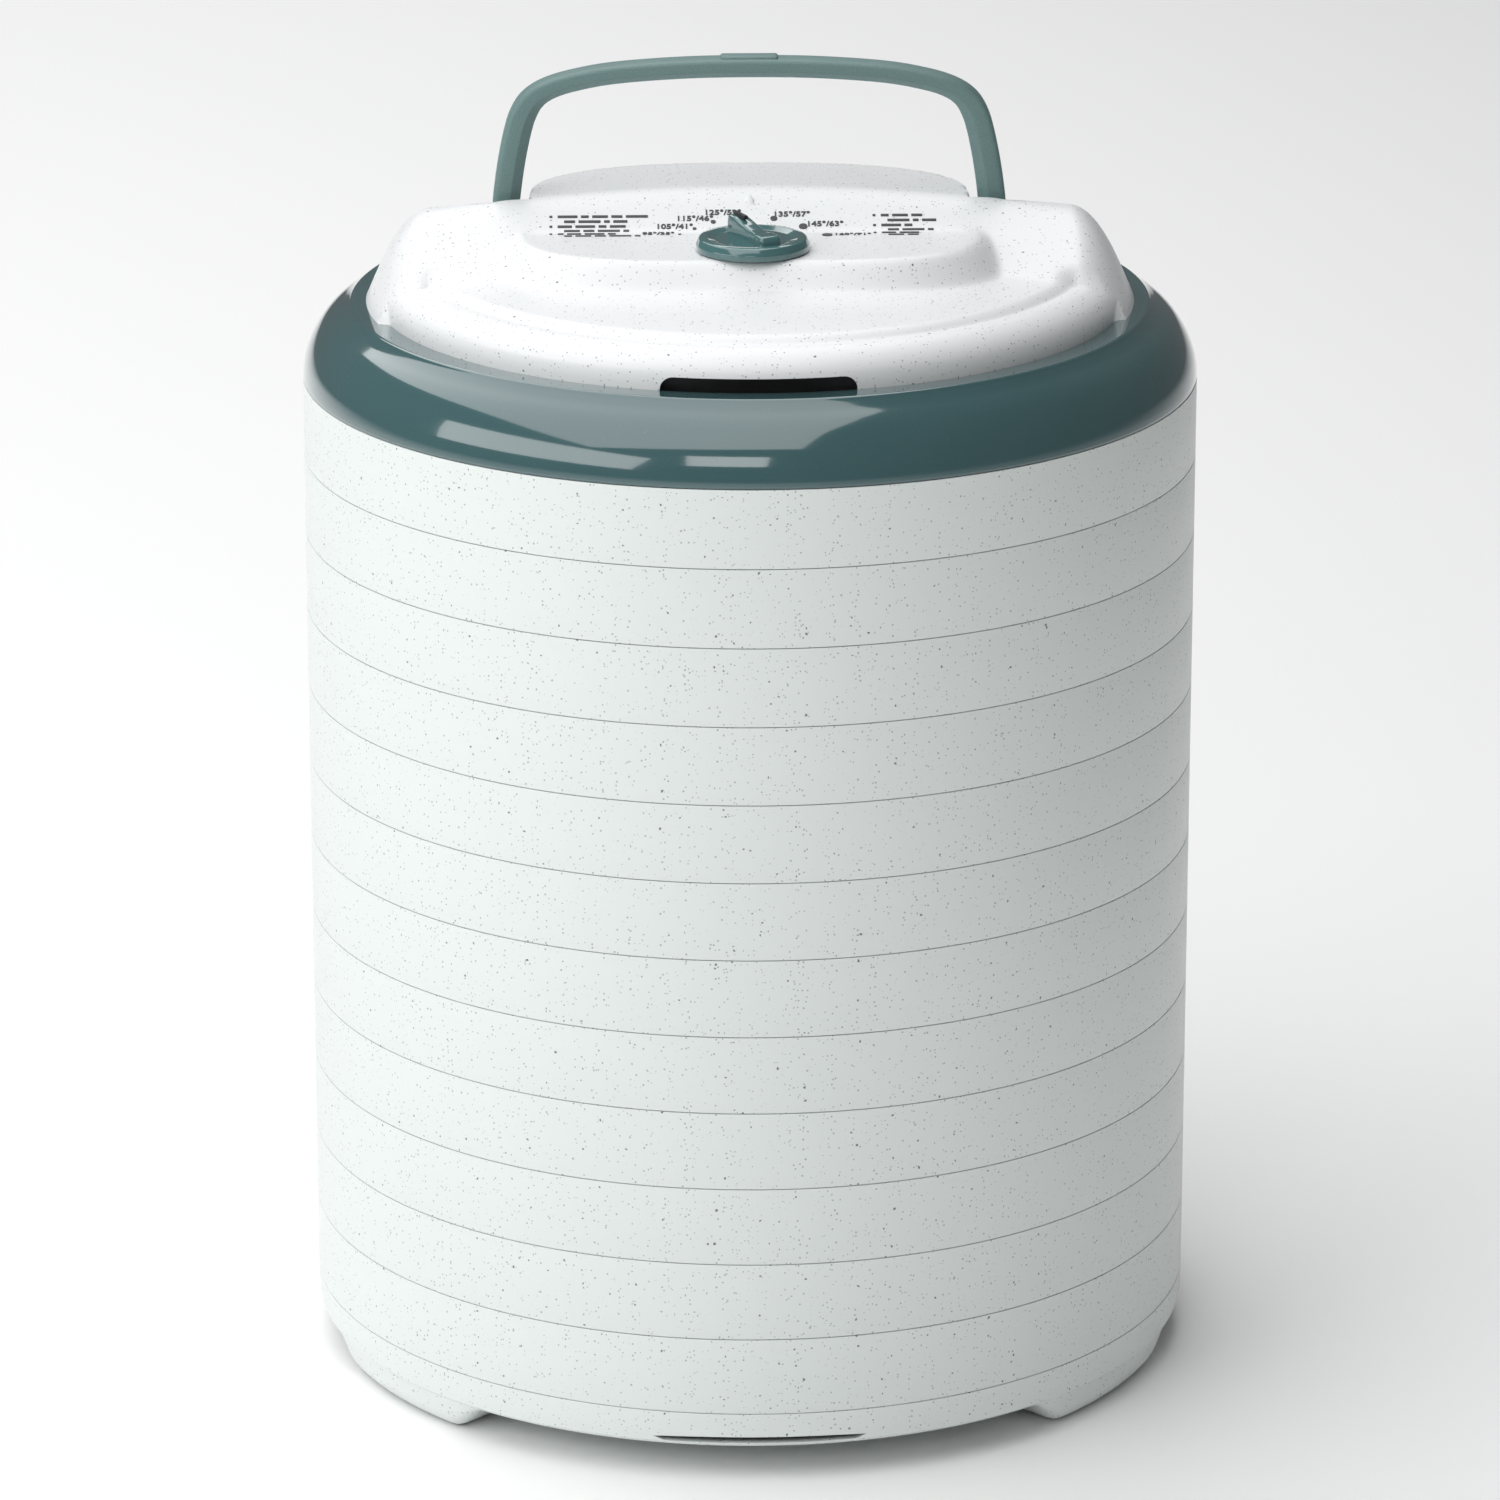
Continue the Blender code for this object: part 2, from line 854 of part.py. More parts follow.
def bearing_bracket(name, core_face, direction, look):
    """A bridge over one end of the rotor. Direction is 1 above the core and -1 below it."""

    def block(block_name, x_low, x_high, near, far, collection, block_look=None):
        ends = sorted((core_face + direction * near, core_face + direction * far))
        low = (x_low, -0.007, stack_top + ends[0])
        high = (x_high, 0.007, stack_top + ends[1])
        return box(block_name, low, high, collection, block_look)

    bridge = block(name, -0.027, 0.027, 0.0030, 0.0050, parts, look)
    feet = [
        block(name + "_left", -0.027, -0.0195, gap, 0.0045, tools),
        block(name + "_right", 0.0195, 0.027, gap, 0.0045, tools),
    ]
    join(bridge, *feet)
    low, high = stack_top + core_face - 0.01, stack_top + core_face + 0.01
    cut(bridge, rod(name + "_bore", shaft_radius + gap, low, high, tools))
    for side in (-1, 1):
        cut(bridge, rod(f"{name}_hole_{side}", 0.0020, low, high, tools, segments=8, at=(side * 0.023, 0)))


def motor_rotor(look):
    turned(
        "motor_rotor",
        above_stack(
            [
                (0.0, 0.0590),
                (shaft_radius, 0.0590),
                (shaft_radius, core_high - 0.001),
                (rotor_radius, core_high - 0.001),
                (rotor_radius, core_low + 0.001),
                (shaft_radius, core_low + 0.001),
                (shaft_radius, 0.0135),
                (0.0, 0.0135),
            ]
        ),
        parts,
        segments=20,
        look=look,
        closed=False,
    )


def motor_plate(look):
    """The steel plate that hangs the motor from two posts of the cover."""
    plate = box(
        "motor_plate",
        (-0.072, -0.028, stack_top + 0.0282),
        (0.072, 0.056, stack_top + 0.0298),
        parts,
        look,
    )
    for x in (-0.022, 0.022):
        for y in (-0.017, 0.0445):
            pad = box(
                f"core_pad_{x}_{y}",
                (x - 0.004, y - 0.004, stack_top + 0.0290),
                (x + 0.004, y + 0.004, stack_top + core_low - gap),
                tools,
            )
            join(plate, pad)
    low, high = stack_top + 0.025, stack_top + 0.032
    cut(plate, rod("plate_centre", 0.009, low, high, tools, segments=16))
    for side in (-1, 1):
        place = (side * motor_boss_x, 0.0)
        cut(plate, rod(f"plate_hole_{side}", 0.0020, low, high, tools, segments=8, at=place))


def motor_fasteners(look):
    for name, side in (("left", -1), ("right", 1)):
        place = (side * motor_boss_x, 0.0)
        headed_screw(f"motor_plate_screw_{name}", place, 0.0262, 0.0279, 0.0400, look)
        place = (side * 0.023, 0.0)
        headed_screw(f"motor_bolt_{name}", place, core_high + 0.0053, core_high + 0.0073, 0.0312, look)


def fan_blade(look):
    fan = turned(
        "fan_blade",
        above_stack(
            [
                (0.0090, 0.0250),
                (0.0090, 0.0142),
                (shaft_radius + gap, 0.0142),
                (shaft_radius + gap, 0.0250),
            ]
        ),
        parts,
        segments=20,
        look=look,
    )
    blade_count = 5
    inner = 0.0075
    for index in range(blade_count):
        blade = box(
            f"blade_{index}",
            (-(fan_radius - inner) / 2, -0.0150, -0.0007),
            ((fan_radius - inner) / 2, 0.0150, 0.0007),
            tools,
        )
        turn = math.radians(360.0 * index / blade_count)
        middle = (fan_radius + inner) / 2
        blade.location = (middle * math.cos(turn), middle * math.sin(turn), stack_top + 0.0198)
        blade.rotation_euler = (math.radians(14), 0.0, turn)
        join(fan, blade)


def heater(frame_look, coil_look, fuse_look):
    """A crossed mica frame that carries a ring of heating coil in its notches."""
    low, high = stack_top + 0.0056, stack_top + 0.0120
    frame = box("heater_frame", (-0.078, -0.0008, low), (0.078, 0.0008, high), parts, frame_look)
    cross = box("heater_cross", (-0.0008, -0.078, low), (0.0008, 0.078, high), tools)
    notch = turned(
        "coil_notch",
        above_stack(
            [
                (heater_ring_radius + 0.0036, 0.0140),
                (heater_ring_radius + 0.0036, 0.0080),
                (heater_ring_radius - 0.0036, 0.0080),
                (heater_ring_radius - 0.0036, 0.0140),
            ]
        ),
        tools,
        segments=24,
    )
    join(frame, cross)
    cut(frame, notch)
    profile = []
    for step in range(8):
        x, height = polar(0.0030, -45.0 * step)
        profile.append((heater_ring_radius + x, 0.0114 + height))
    turned("heater_coil", above_stack(profile), parts, segments=24, look=coil_look)
    fuse = rod("thermal_fuse", 0.0020, -0.006, 0.006, parts, fuse_look, segments=10)
    fuse.location = (0.031, -0.0065, stack_top + 0.0085)
    fuse.rotation_euler.y = math.radians(90)


def wiring(look):
    lead_radius = 0.0011
    supply = [(0.0, 0.1552, 0.0130), (0.0, 0.1530, 0.0180), (-0.004, 0.1500, 0.0228)]
    supply += [(-0.030, 0.1330, 0.0270), (-0.080, 0.0800, 0.0340), (-0.096, 0.0200, 0.0380)]
    supply += [(-0.084, -0.0290, 0.0420), (-0.042, -0.0440, 0.0445), (-0.0128, -0.0460, 0.0450)]
    wire("supply_lead", supply, lead_radius, look)
    motor = [(0.0128, -0.0460, 0.0450), (0.034, -0.0400, 0.0480), (0.040, -0.0100, 0.0540)]
    motor += [(0.036, 0.0300, 0.0560), (0.022, 0.0430, 0.0560), (0.0154, 0.0440, 0.0560)]
    wire("motor_lead", motor, lead_radius, look)
    heating = [(0.0, -0.0585, 0.0440), (0.014, -0.0760, 0.0410), (0.027, -0.0930, 0.0330)]
    heating += [(0.029, -0.0960, 0.0180), (0.024, -0.0920, 0.0095), (0.004, -0.0796, 0.0090)]
    wire("heater_lead", heating, lead_radius, look)


def finish_part(obj, look):
    obj.data.materials.clear()
    obj.data.materials.append(look)
    for collection in list(obj.users_collection):
        collection.objects.unlink(obj)
    parts.objects.link(obj)
    obj.hide_render = False
    obj.display_type = "TEXTURED"


speckled = speckled_plastic()
grey = grey_plastic()
black = black_plastic()
metal = steel()

base_pan(speckled)
tray_stack(speckled)
lid_ring(grey)
top_cover(speckled)
air_guard(metal)
lid_screws(metal)
cord_inlet(black)
handle(textured_grey_plastic())
handle_pivot("handle_pivot_left", -1, grey)
handle_pivot("handle_pivot_right", 1, grey)
dial_knob(grey)
dial_pointer(black)
thermostat(black, metal)
motor_core(metal)
motor_coil(copper_winding())
bearing_bracket("upper_bearing_bracket", core_high, 1, metal)
bearing_bracket("lower_bearing_bracket", core_low, -1, metal)
motor_rotor(metal)
motor_plate(metal)
motor_fasteners(metal)
fan_blade(black)
heater(mica(), metal, metal)
wiring(wire_sleeve())
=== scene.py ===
import math

import bmesh
import bpy
import numpy as np
from mathutils import Matrix, Vector


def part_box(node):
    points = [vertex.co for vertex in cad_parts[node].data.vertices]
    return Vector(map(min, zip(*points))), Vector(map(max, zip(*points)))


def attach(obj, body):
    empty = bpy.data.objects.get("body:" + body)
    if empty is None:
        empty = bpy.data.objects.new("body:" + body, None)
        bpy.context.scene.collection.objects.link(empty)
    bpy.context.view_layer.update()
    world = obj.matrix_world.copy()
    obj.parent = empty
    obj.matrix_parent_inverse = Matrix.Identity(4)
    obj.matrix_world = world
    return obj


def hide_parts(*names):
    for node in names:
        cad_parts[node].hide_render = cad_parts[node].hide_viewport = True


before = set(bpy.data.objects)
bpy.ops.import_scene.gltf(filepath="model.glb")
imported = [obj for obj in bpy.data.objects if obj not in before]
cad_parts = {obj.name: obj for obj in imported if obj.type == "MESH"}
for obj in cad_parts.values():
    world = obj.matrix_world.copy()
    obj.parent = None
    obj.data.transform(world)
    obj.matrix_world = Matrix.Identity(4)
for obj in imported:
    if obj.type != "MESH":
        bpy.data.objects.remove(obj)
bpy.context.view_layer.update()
scene = bpy.context.scene

mm = 0.001


def middleOf(node):
    low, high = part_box(node)
    return [(a + b) / 2 for a, b in zip(low, high)]


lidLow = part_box("lid_ring")[1][2] - 0.029  # the plane where the lid meets the top tray
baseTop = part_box("base_pan")[1][2]
pitch = (lidLow - baseTop) / 12
pinAt = middleOf("handle_pivot_left")
dialAt = middleOf("dial_knob")
trayNames = sorted(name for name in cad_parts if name.startswith("tray_"))


class Term:
    # a socket that can be used in plain arithmetic
    def __init__(self, finish, socket):
        self.finish = finish
        self.socket = socket

    def calc(self, operation, *values):
        return self.finish.add("Math", {"operation": operation}, dict(enumerate(values)))["Value"]

    def __add__(self, other):
        return self.calc("ADD", self, other)

    def __radd__(self, other):
        return self.calc("ADD", other, self)

    def __sub__(self, other):
        return self.calc("SUBTRACT", self, other)

    def __rsub__(self, other):
        return self.calc("SUBTRACT", other, self)

    def __mul__(self, other):
        return self.calc("MULTIPLY", self, other)

    def __rmul__(self, other):
        return self.calc("MULTIPLY", other, self)

    def __truediv__(self, other):
        return self.calc("DIVIDE", self, other)

    def __gt__(self, other):
        return self.calc("GREATER_THAN", self, other)

    def __lt__(self, other):
        return self.calc("LESS_THAN", self, other)

    def sine(self):
        return self.calc("SINE", self)


class Outputs:
    def __init__(self, finish, node):
        self.finish = finish
        self.node = node

    def __getitem__(self, name):
        return Term(self.finish, self.node.outputs[name])


class Finish:
    def __init__(self, name):
        self.material = bpy.data.materials.new(name)
        self.material.use_nodes = True
        self.tree = self.material.node_tree
        self.shader = self.tree.nodes["Principled BSDF"]
        self.point = self.add("TexCoord")["Object"]

    def add(self, kind, settings=None, inputs=None):
        node = self.tree.nodes.new("ShaderNode" + kind)
        for key, value in (settings or {}).items():
            setattr(node, key, value)
        for key, value in (inputs or {}).items():
            self.feed(node.inputs[key], value)
        return Outputs(self, node)

    def feed(self, socket, value):
        if isinstance(value, Term):
            self.tree.links.new(value.socket, socket)
        else:
            socket.default_value = value

    def set(self, **values):
        for key, value in values.items():
            self.feed(self.shader.inputs[key.replace("_", " ")], value)

    def noise(self, scale, detail=2.0, roughness=0.5, vector=None):
        inputs = {"Vector": vector or self.point, "Scale": scale, "Detail": detail, "Roughness": roughness}
        return self.add("TexNoise", None, inputs)["Fac"]

    def mix(self, factor, first, second):
        inputs = {0: factor, 6: first, 7: second}
        node = self.add("Mix", {"data_type": "RGBA"}, inputs)
        return Term(self, node.node.outputs[2])

    def bump(self, height, distance, strength=1.0):
        inputs = {"Height": height, "Distance": distance, "Strength": strength}
        self.set(Normal=self.add("Bump", None, inputs)["Normal"])


def rgba(red, green, blue):
    return (red, green, blue, 1.0)


def speckledPlastic(name, tone, shade):
    look = {
        "fineCell": 640.0,  # cells in a metre, one speck at most in each
        "coarseCell": 300.0,
        "fineChance": 0.72,
        "coarseChance": 0.36,
        "speck": rgba(0.07, 0.08, 0.085),
        "paleSpeck": rgba(0.20, 0.215, 0.22),
        "roughness": 0.34,
    }
    finish = Finish(name)
    masks = []
    for cell, chance, size in (
        (look["fineCell"], look["fineChance"], 0.19),
        (look["coarseCell"], look["coarseChance"], 0.11),
    ):
        wobble = finish.add("TexNoise", None, {"Vector": finish.point, "Scale": cell * 2.5, "Detail": 1.0})
        bend = finish.add(
            "VectorMath",
            {"operation": "MULTIPLY_ADD"},
            {0: wobble["Color"], 1: (0.35 / cell,) * 3, 2: finish.point},
        )["Vector"]
        cells = finish.add("TexVoronoi", {"feature": "F1"}, {"Vector": bend, "Scale": cell})
        parts = finish.add("SeparateColor", None, {0: cells["Color"]})
        picked = parts["Red"] < chance
        radius = parts["Green"] * size + size * 0.35
        masks.append((cells["Distance"] < radius) * picked)
    cloud = finish.noise(9.0, 3.0)
    base = finish.mix(cloud, rgba(*tone), rgba(*shade))
    soft = finish.mix(masks[0] * 0.62, base, look["paleSpeck"])
    finish.set(Base_Color=finish.mix(masks[1] * 0.85, soft, look["speck"]))
    finish.set(Roughness=finish.noise(60.0) * 0.10 + (look["roughness"] - 0.05))
    finish.set(IOR=1.49)
    finish.bump(finish.noise(420.0, 2.0), 0.00006, 0.35)
    return finish.material


def polishedGrey(name, tone, shade):
    finish = Finish(name)
    cloud = finish.noise(14.0, 2.0)
    base = finish.mix(cloud, rgba(*tone), rgba(*shade))
    dust = (finish.noise(2300.0, 1.0) > 0.76) * 0.35
    finish.set(Base_Color=finish.mix(dust, base, rgba(0.32, 0.36, 0.36)))
    finish.set(Roughness=finish.noise(38.0, 3.0) * 0.07 + 0.07)
    finish.set(IOR=1.55, Coat_Weight=1.0, Coat_Roughness=0.05)
    finish.bump(finish.noise(26.0, 2.0), 0.00025, 0.25)
    return finish.material


def grainedGrey(name):
    finish = Finish(name)
    grain = finish.noise(1500.0, 2.0, 0.6)
    base = finish.mix(grain, rgba(0.082, 0.152, 0.150), rgba(0.180, 0.290, 0.282))
    wear = finish.noise(22.0, 3.0) * 0.22
    finish.set(Base_Color=finish.mix(wear, base, rgba(0.21, 0.32, 0.31)))
    finish.set(Roughness=grain * 0.20 + 0.36)
    finish.set(IOR=1.5)
    finish.bump(grain, 0.00018, 0.9)
    return finish.material


def blackPlastic(name):
    finish = Finish(name)
    cloud = finish.noise(180.0, 2.0)
    finish.set(Base_Color=finish.mix(cloud, rgba(0.012, 0.012, 0.013), rgba(0.028, 0.029, 0.031)))
    finish.set(Roughness=cloud * 0.2 + 0.35)
    finish.bump(finish.noise(900.0), 0.00008, 0.5)
    return finish.material


def rolledSteel(name, tone=(0.56, 0.57, 0.58)):
    finish = Finish(name)
    stretch = {"Vector": finish.point, "Scale": (40.0, 1400.0, 900.0)}
    stretched = finish.add("Mapping", None, stretch)["Vector"]
    streaks = finish.noise(1.0, 3.0, 0.6, stretched)
    dull = tuple(0.72 * part for part in tone)
    finish.set(Base_Color=finish.mix(streaks, rgba(*dull), rgba(*tone)), Metallic=1.0)
    finish.set(Roughness=streaks * 0.22 + 0.24)
    finish.bump(streaks, 0.00005, 0.4)
    return finish.material


def copperWinding(name):
    finish = Finish(name)
    parts = finish.add("SeparateXYZ", None, {0: finish.point})
    wirePitch = 0.0008
    ridge = (parts["X"] * (2 * math.pi / wirePitch)).sine() * 0.5 + 0.5
    # the dark colour sits at the low points of the wire ridges: painted shade in the grooves between turns
    finish.set(Base_Color=finish.mix(ridge, rgba(0.16, 0.05, 0.02), rgba(0.62, 0.26, 0.10)), Metallic=0.9)
    finish.set(Roughness=ridge * 0.1 + 0.26)
    finish.bump(ridge, 0.0002, 0.8)
    return finish.material


def micaSheet(name):
    finish = Finish(name)
    flakes = finish.add("TexVoronoi", {"feature": "F1"}, {"Vector": finish.point, "Scale": 260.0})
    value = finish.add("SeparateColor", None, {0: flakes["Color"]})["Red"]
    finish.set(Base_Color=finish.mix(value, rgba(0.36, 0.30, 0.20), rgba(0.56, 0.49, 0.36)))
    finish.set(Roughness=value * 0.25 + 0.35)
    finish.bump(value, 0.0001, 0.4)
    return finish.material


def braidedSleeve(name):
    finish = Finish(name)
    bands = {"Vector": finish.point, "Scale": 260.0}
    weave = finish.add("TexWave", {"bands_direction": "DIAGONAL"}, bands)["Fac"]
    # the dark colour sits in the dips of the weave: painted shade between the strands
    finish.set(Base_Color=finish.mix(weave, rgba(0.42, 0.41, 0.37), rgba(0.72, 0.70, 0.64)))
    finish.set(Roughness=weave * 0.1 + 0.6)
    finish.bump(weave, 0.0002, 0.7)
    return finish.material


def printedInk(name):
    finish = Finish(name)
    patch = finish.noise(900.0, 2.0)
    finish.set(Base_Color=finish.mix(patch, rgba(0.022, 0.026, 0.028), rgba(0.055, 0.06, 0.062)))
    finish.set(Roughness=patch * 0.15 + 0.4)
    return finish.material


whiteTrays = speckledPlastic("speckledTrays", (0.79, 0.835, 0.815), (0.75, 0.80, 0.78))
whiteCover = speckledPlastic("speckledCover", (0.83, 0.84, 0.845), (0.80, 0.815, 0.825))
# the ring's own dark teal grey, made darker still as painted shade of its lower band
greyGloss = polishedGrey("polishedGrey", (0.044, 0.102, 0.110), (0.053, 0.118, 0.125))
# a lighter copy of the same grey for the dial: painted light on its lit top
litDialGloss = polishedGrey("dialGrey", (0.058, 0.142, 0.146), (0.070, 0.162, 0.166))
greyGrain = grainedGrey("grainedGrey")
black = blackPlastic("blackPlastic")
steel = rolledSteel("rolledSteel")
darkSteel = rolledSteel("laminations", (0.34, 0.35, 0.36))
copper = copperWinding("copperWinding")
mica = micaSheet("micaSheet")
sleeve = braidedSleeve("braidedSleeve")
ink = printedInk("printedInk")
print("finishes made")


def addMesh(name, points, faces, material, sharp=40.0):
    mesh = bpy.data.meshes.new(name)
    mesh.from_pydata([tuple(point) for point in points], [], faces)
    return addObject(name, mesh, material, sharp)


def addObject(name, mesh, material, sharp=40.0):
    obj = bpy.data.objects.new(name, mesh)
    scene.collection.objects.link(obj)
    mesh.materials.clear()
    mesh.materials.append(material)
    mesh.shade_smooth()
    mesh.set_sharp_from_angle(angle=math.radians(sharp))
    return obj


def fixNormals(mesh, merge=1e-6):
    shape = bmesh.new()
    shape.from_mesh(mesh)
    bmesh.ops.remove_doubles(shape, verts=shape.verts, dist=merge)
    bmesh.ops.recalc_face_normals(shape, faces=shape.faces)
    shape.to_mesh(mesh)
    shape.free()


def fillet(corners, steps=5):
    # corners are (radius, height, fillet radius) in mm, and come back as points in metres
    points = []
    count = len(corners)
    for i, (x, z, radius) in enumerate(corners):
        here = Vector((x, z))
        if radius <= 0:
            points.append(here * mm)
            continue
        before = (Vector(corners[i - 1][:2]) - here).normalized()
        after = (Vector(corners[(i + 1) % count][:2]) - here).normalized()
        half = before.angle(after) / 2
        reach = radius / math.tan(half)
        centre = here + (before + after).normalized() * (radius / math.sin(half))
        start = here + before * reach - centre
        end = here + after * reach - centre
        turn = start.angle_signed(end)
        for step in range(steps + 1):
            angle = -turn * step / steps
            spin = Matrix.Rotation(angle, 2)
            points.append((centre + spin @ start) * mm)
    return points


def revolve(name, points, material, steps=192, lift=0.0, sharp=40.0, closed=True):
    # turns points of (radius, height) about Z; points on the axis become poles
    rows = []
    verts = []
    for point in points:
        if point[0] < 1e-7:
            rows.append([len(verts)] * steps)
            verts.append((0.0, 0.0, point[1] + lift))
            continue
        rows.append(list(range(len(verts), len(verts) + steps)))
        for step in range(steps):
            angle = 2 * math.pi * step / steps
            verts.append((point[0] * math.cos(angle), point[0] * math.sin(angle), point[1] + lift))
    faces = []
    last = len(rows) if closed else len(rows) - 1
    for i in range(last):
        top, low = rows[i], rows[(i + 1) % len(rows)]
        for step in range(steps):
            after = (step + 1) % steps
            corners = [top[step], low[step], low[after], top[after]]
            face = list(dict.fromkeys(corners))
            if len(face) > 2:
                faces.append(face)
    obj = addMesh(name, verts, faces, material, sharp)
    fixNormals(obj.data)
    return obj


def bake(obj):
    # live modifiers become a plain mesh
    graph = bpy.context.evaluated_depsgraph_get()
    mesh = bpy.data.meshes.new_from_object(obj.evaluated_get(graph))
    obj.modifiers.clear()
    obj.data = mesh
    return obj


def place(obj, matrix):
    obj.data.transform(matrix)
    return obj


def merge(name, objects, material, sharp=40.0):
    # several meshes as one object
    shape = bmesh.new()
    for obj in objects:
        shape.from_mesh(obj.data)
        bpy.data.objects.remove(obj)
    mesh = bpy.data.meshes.new(name)
    shape.to_mesh(mesh)
    shape.free()
    for polygon in mesh.polygons:
        polygon.material_index = 0
    return addObject(name, mesh, material, sharp)


def change(obj, cutter, operation="DIFFERENCE"):
    boolean = obj.modifiers.new("boolean", "BOOLEAN")
    boolean.operation = operation
    boolean.solver = "EXACT"
    boolean.object = cutter
    bake(obj)
    bpy.data.objects.remove(cutter)
    return obj


def addPrism(name, outline, front, back):
    # an outline of (x, z) between two depths
    count = len(outline)
    points = [(x, y, z) for y in (front, back) for x, z in outline]
    faces = [(i, (i + 1) % count, (i + 1) % count + count, i + count) for i in range(count)]
    faces += [tuple(reversed(range(count))), tuple(range(count, 2 * count))]
    prism = addMesh(name, points, faces, black)
    fixNormals(prism.data)
    return prism


def roundedBox(name, size, bevel, material, segments=3):
    shape = bmesh.new()
    bmesh.ops.create_cube(shape, size=1.0)
    bmesh.ops.scale(shape, vec=Vector(size), verts=shape.verts)
    bmesh.ops.bevel(
        shape, geom=list(shape.edges), offset=bevel, segments=segments, profile=0.5, affect="EDGES"
    )
    mesh = bpy.data.meshes.new(name)
    shape.to_mesh(mesh)
    shape.free()
    return addObject(name, mesh, material, 30.0)


def finishPiece(obj, body, slotName, *nodes):
    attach(obj, body)
    if nodes:
        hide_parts(*nodes)
    return obj


def turnedTo(axis, at):
    # a matrix that lays +Z along axis and moves the origin to at
    turn = Vector((0, 0, 1)).rotation_difference(Vector(axis)).to_matrix().to_4x4()
    return Matrix.Translation(at) @ turn


class Graph:
    def __init__(self, name, inputs):
        self.tree = bpy.data.node_groups.new(name, "GeometryNodeTree")
        self.tree.interface.new_socket("Geometry", in_out="OUTPUT", socket_type="NodeSocketGeometry")
        self.keys = {}
        for label, kind in inputs.items():
            item = self.tree.interface.new_socket(label, in_out="INPUT", socket_type="NodeSocket" + kind)
            self.keys[label] = item.identifier
        self.given = self.tree.nodes.new("NodeGroupInput")
        self.end = self.tree.nodes.new("NodeGroupOutput")

    def add(self, kind, settings=None, inputs=None):
        prefix = "" if kind.startswith(("Shader", "Function")) else "GeometryNode"
        node = self.tree.nodes.new(prefix + kind)
        for key, value in (settings or {}).items():
            setattr(node, key, value)
        for key, value in (inputs or {}).items():
            if isinstance(value, bpy.types.NodeSocket):
                self.tree.links.new(value, node.inputs[key])
            else:
                node.inputs[key].default_value = value
        return node

    def calc(self, operation, *values):
        node = self.add("ShaderNodeMath", {"operation": operation}, dict(enumerate(values)))
        return node.outputs[0]

    def vector(self, x=0.0, y=0.0, z=0.0):
        return self.add("ShaderNodeCombineXYZ", None, {0: x, 1: y, 2: z}).outputs[0]

    def finish(self, geometries, material):
        join = self.add("JoinGeometry")
        for geometry in geometries:
            self.tree.links.new(geometry, join.inputs[0])
        real = self.add("RealizeInstances", None, {0: join.outputs[0]})
        done = self.add("SetMaterial", None, {0: real.outputs[0], "Material": material})
        self.tree.links.new(done.outputs[0], self.end.inputs[0])

    def build(self, name, material, values):
        obj = bpy.data.objects.new(name, bpy.data.meshes.new(name))
        scene.collection.objects.link(obj)
        modifier = obj.modifiers.new(self.tree.name, "NODES")
        modifier.node_group = self.tree
        for label, value in values.items():
            modifier[self.keys[label]] = value
        bake(obj)
        fixNormals(obj.data)
        return coatAll(obj, material)


def coatAll(obj, material):
    obj.data.materials.clear()
    obj.data.materials.append(material)
    for polygon in obj.data.polygons:
        polygon.material_index = 0
    return obj


def easeStep(value, low, high):
    t = np.clip((value - low) / (high - low), 0.0, 1.0)
    return t * t * (3.0 - 2.0 * t)


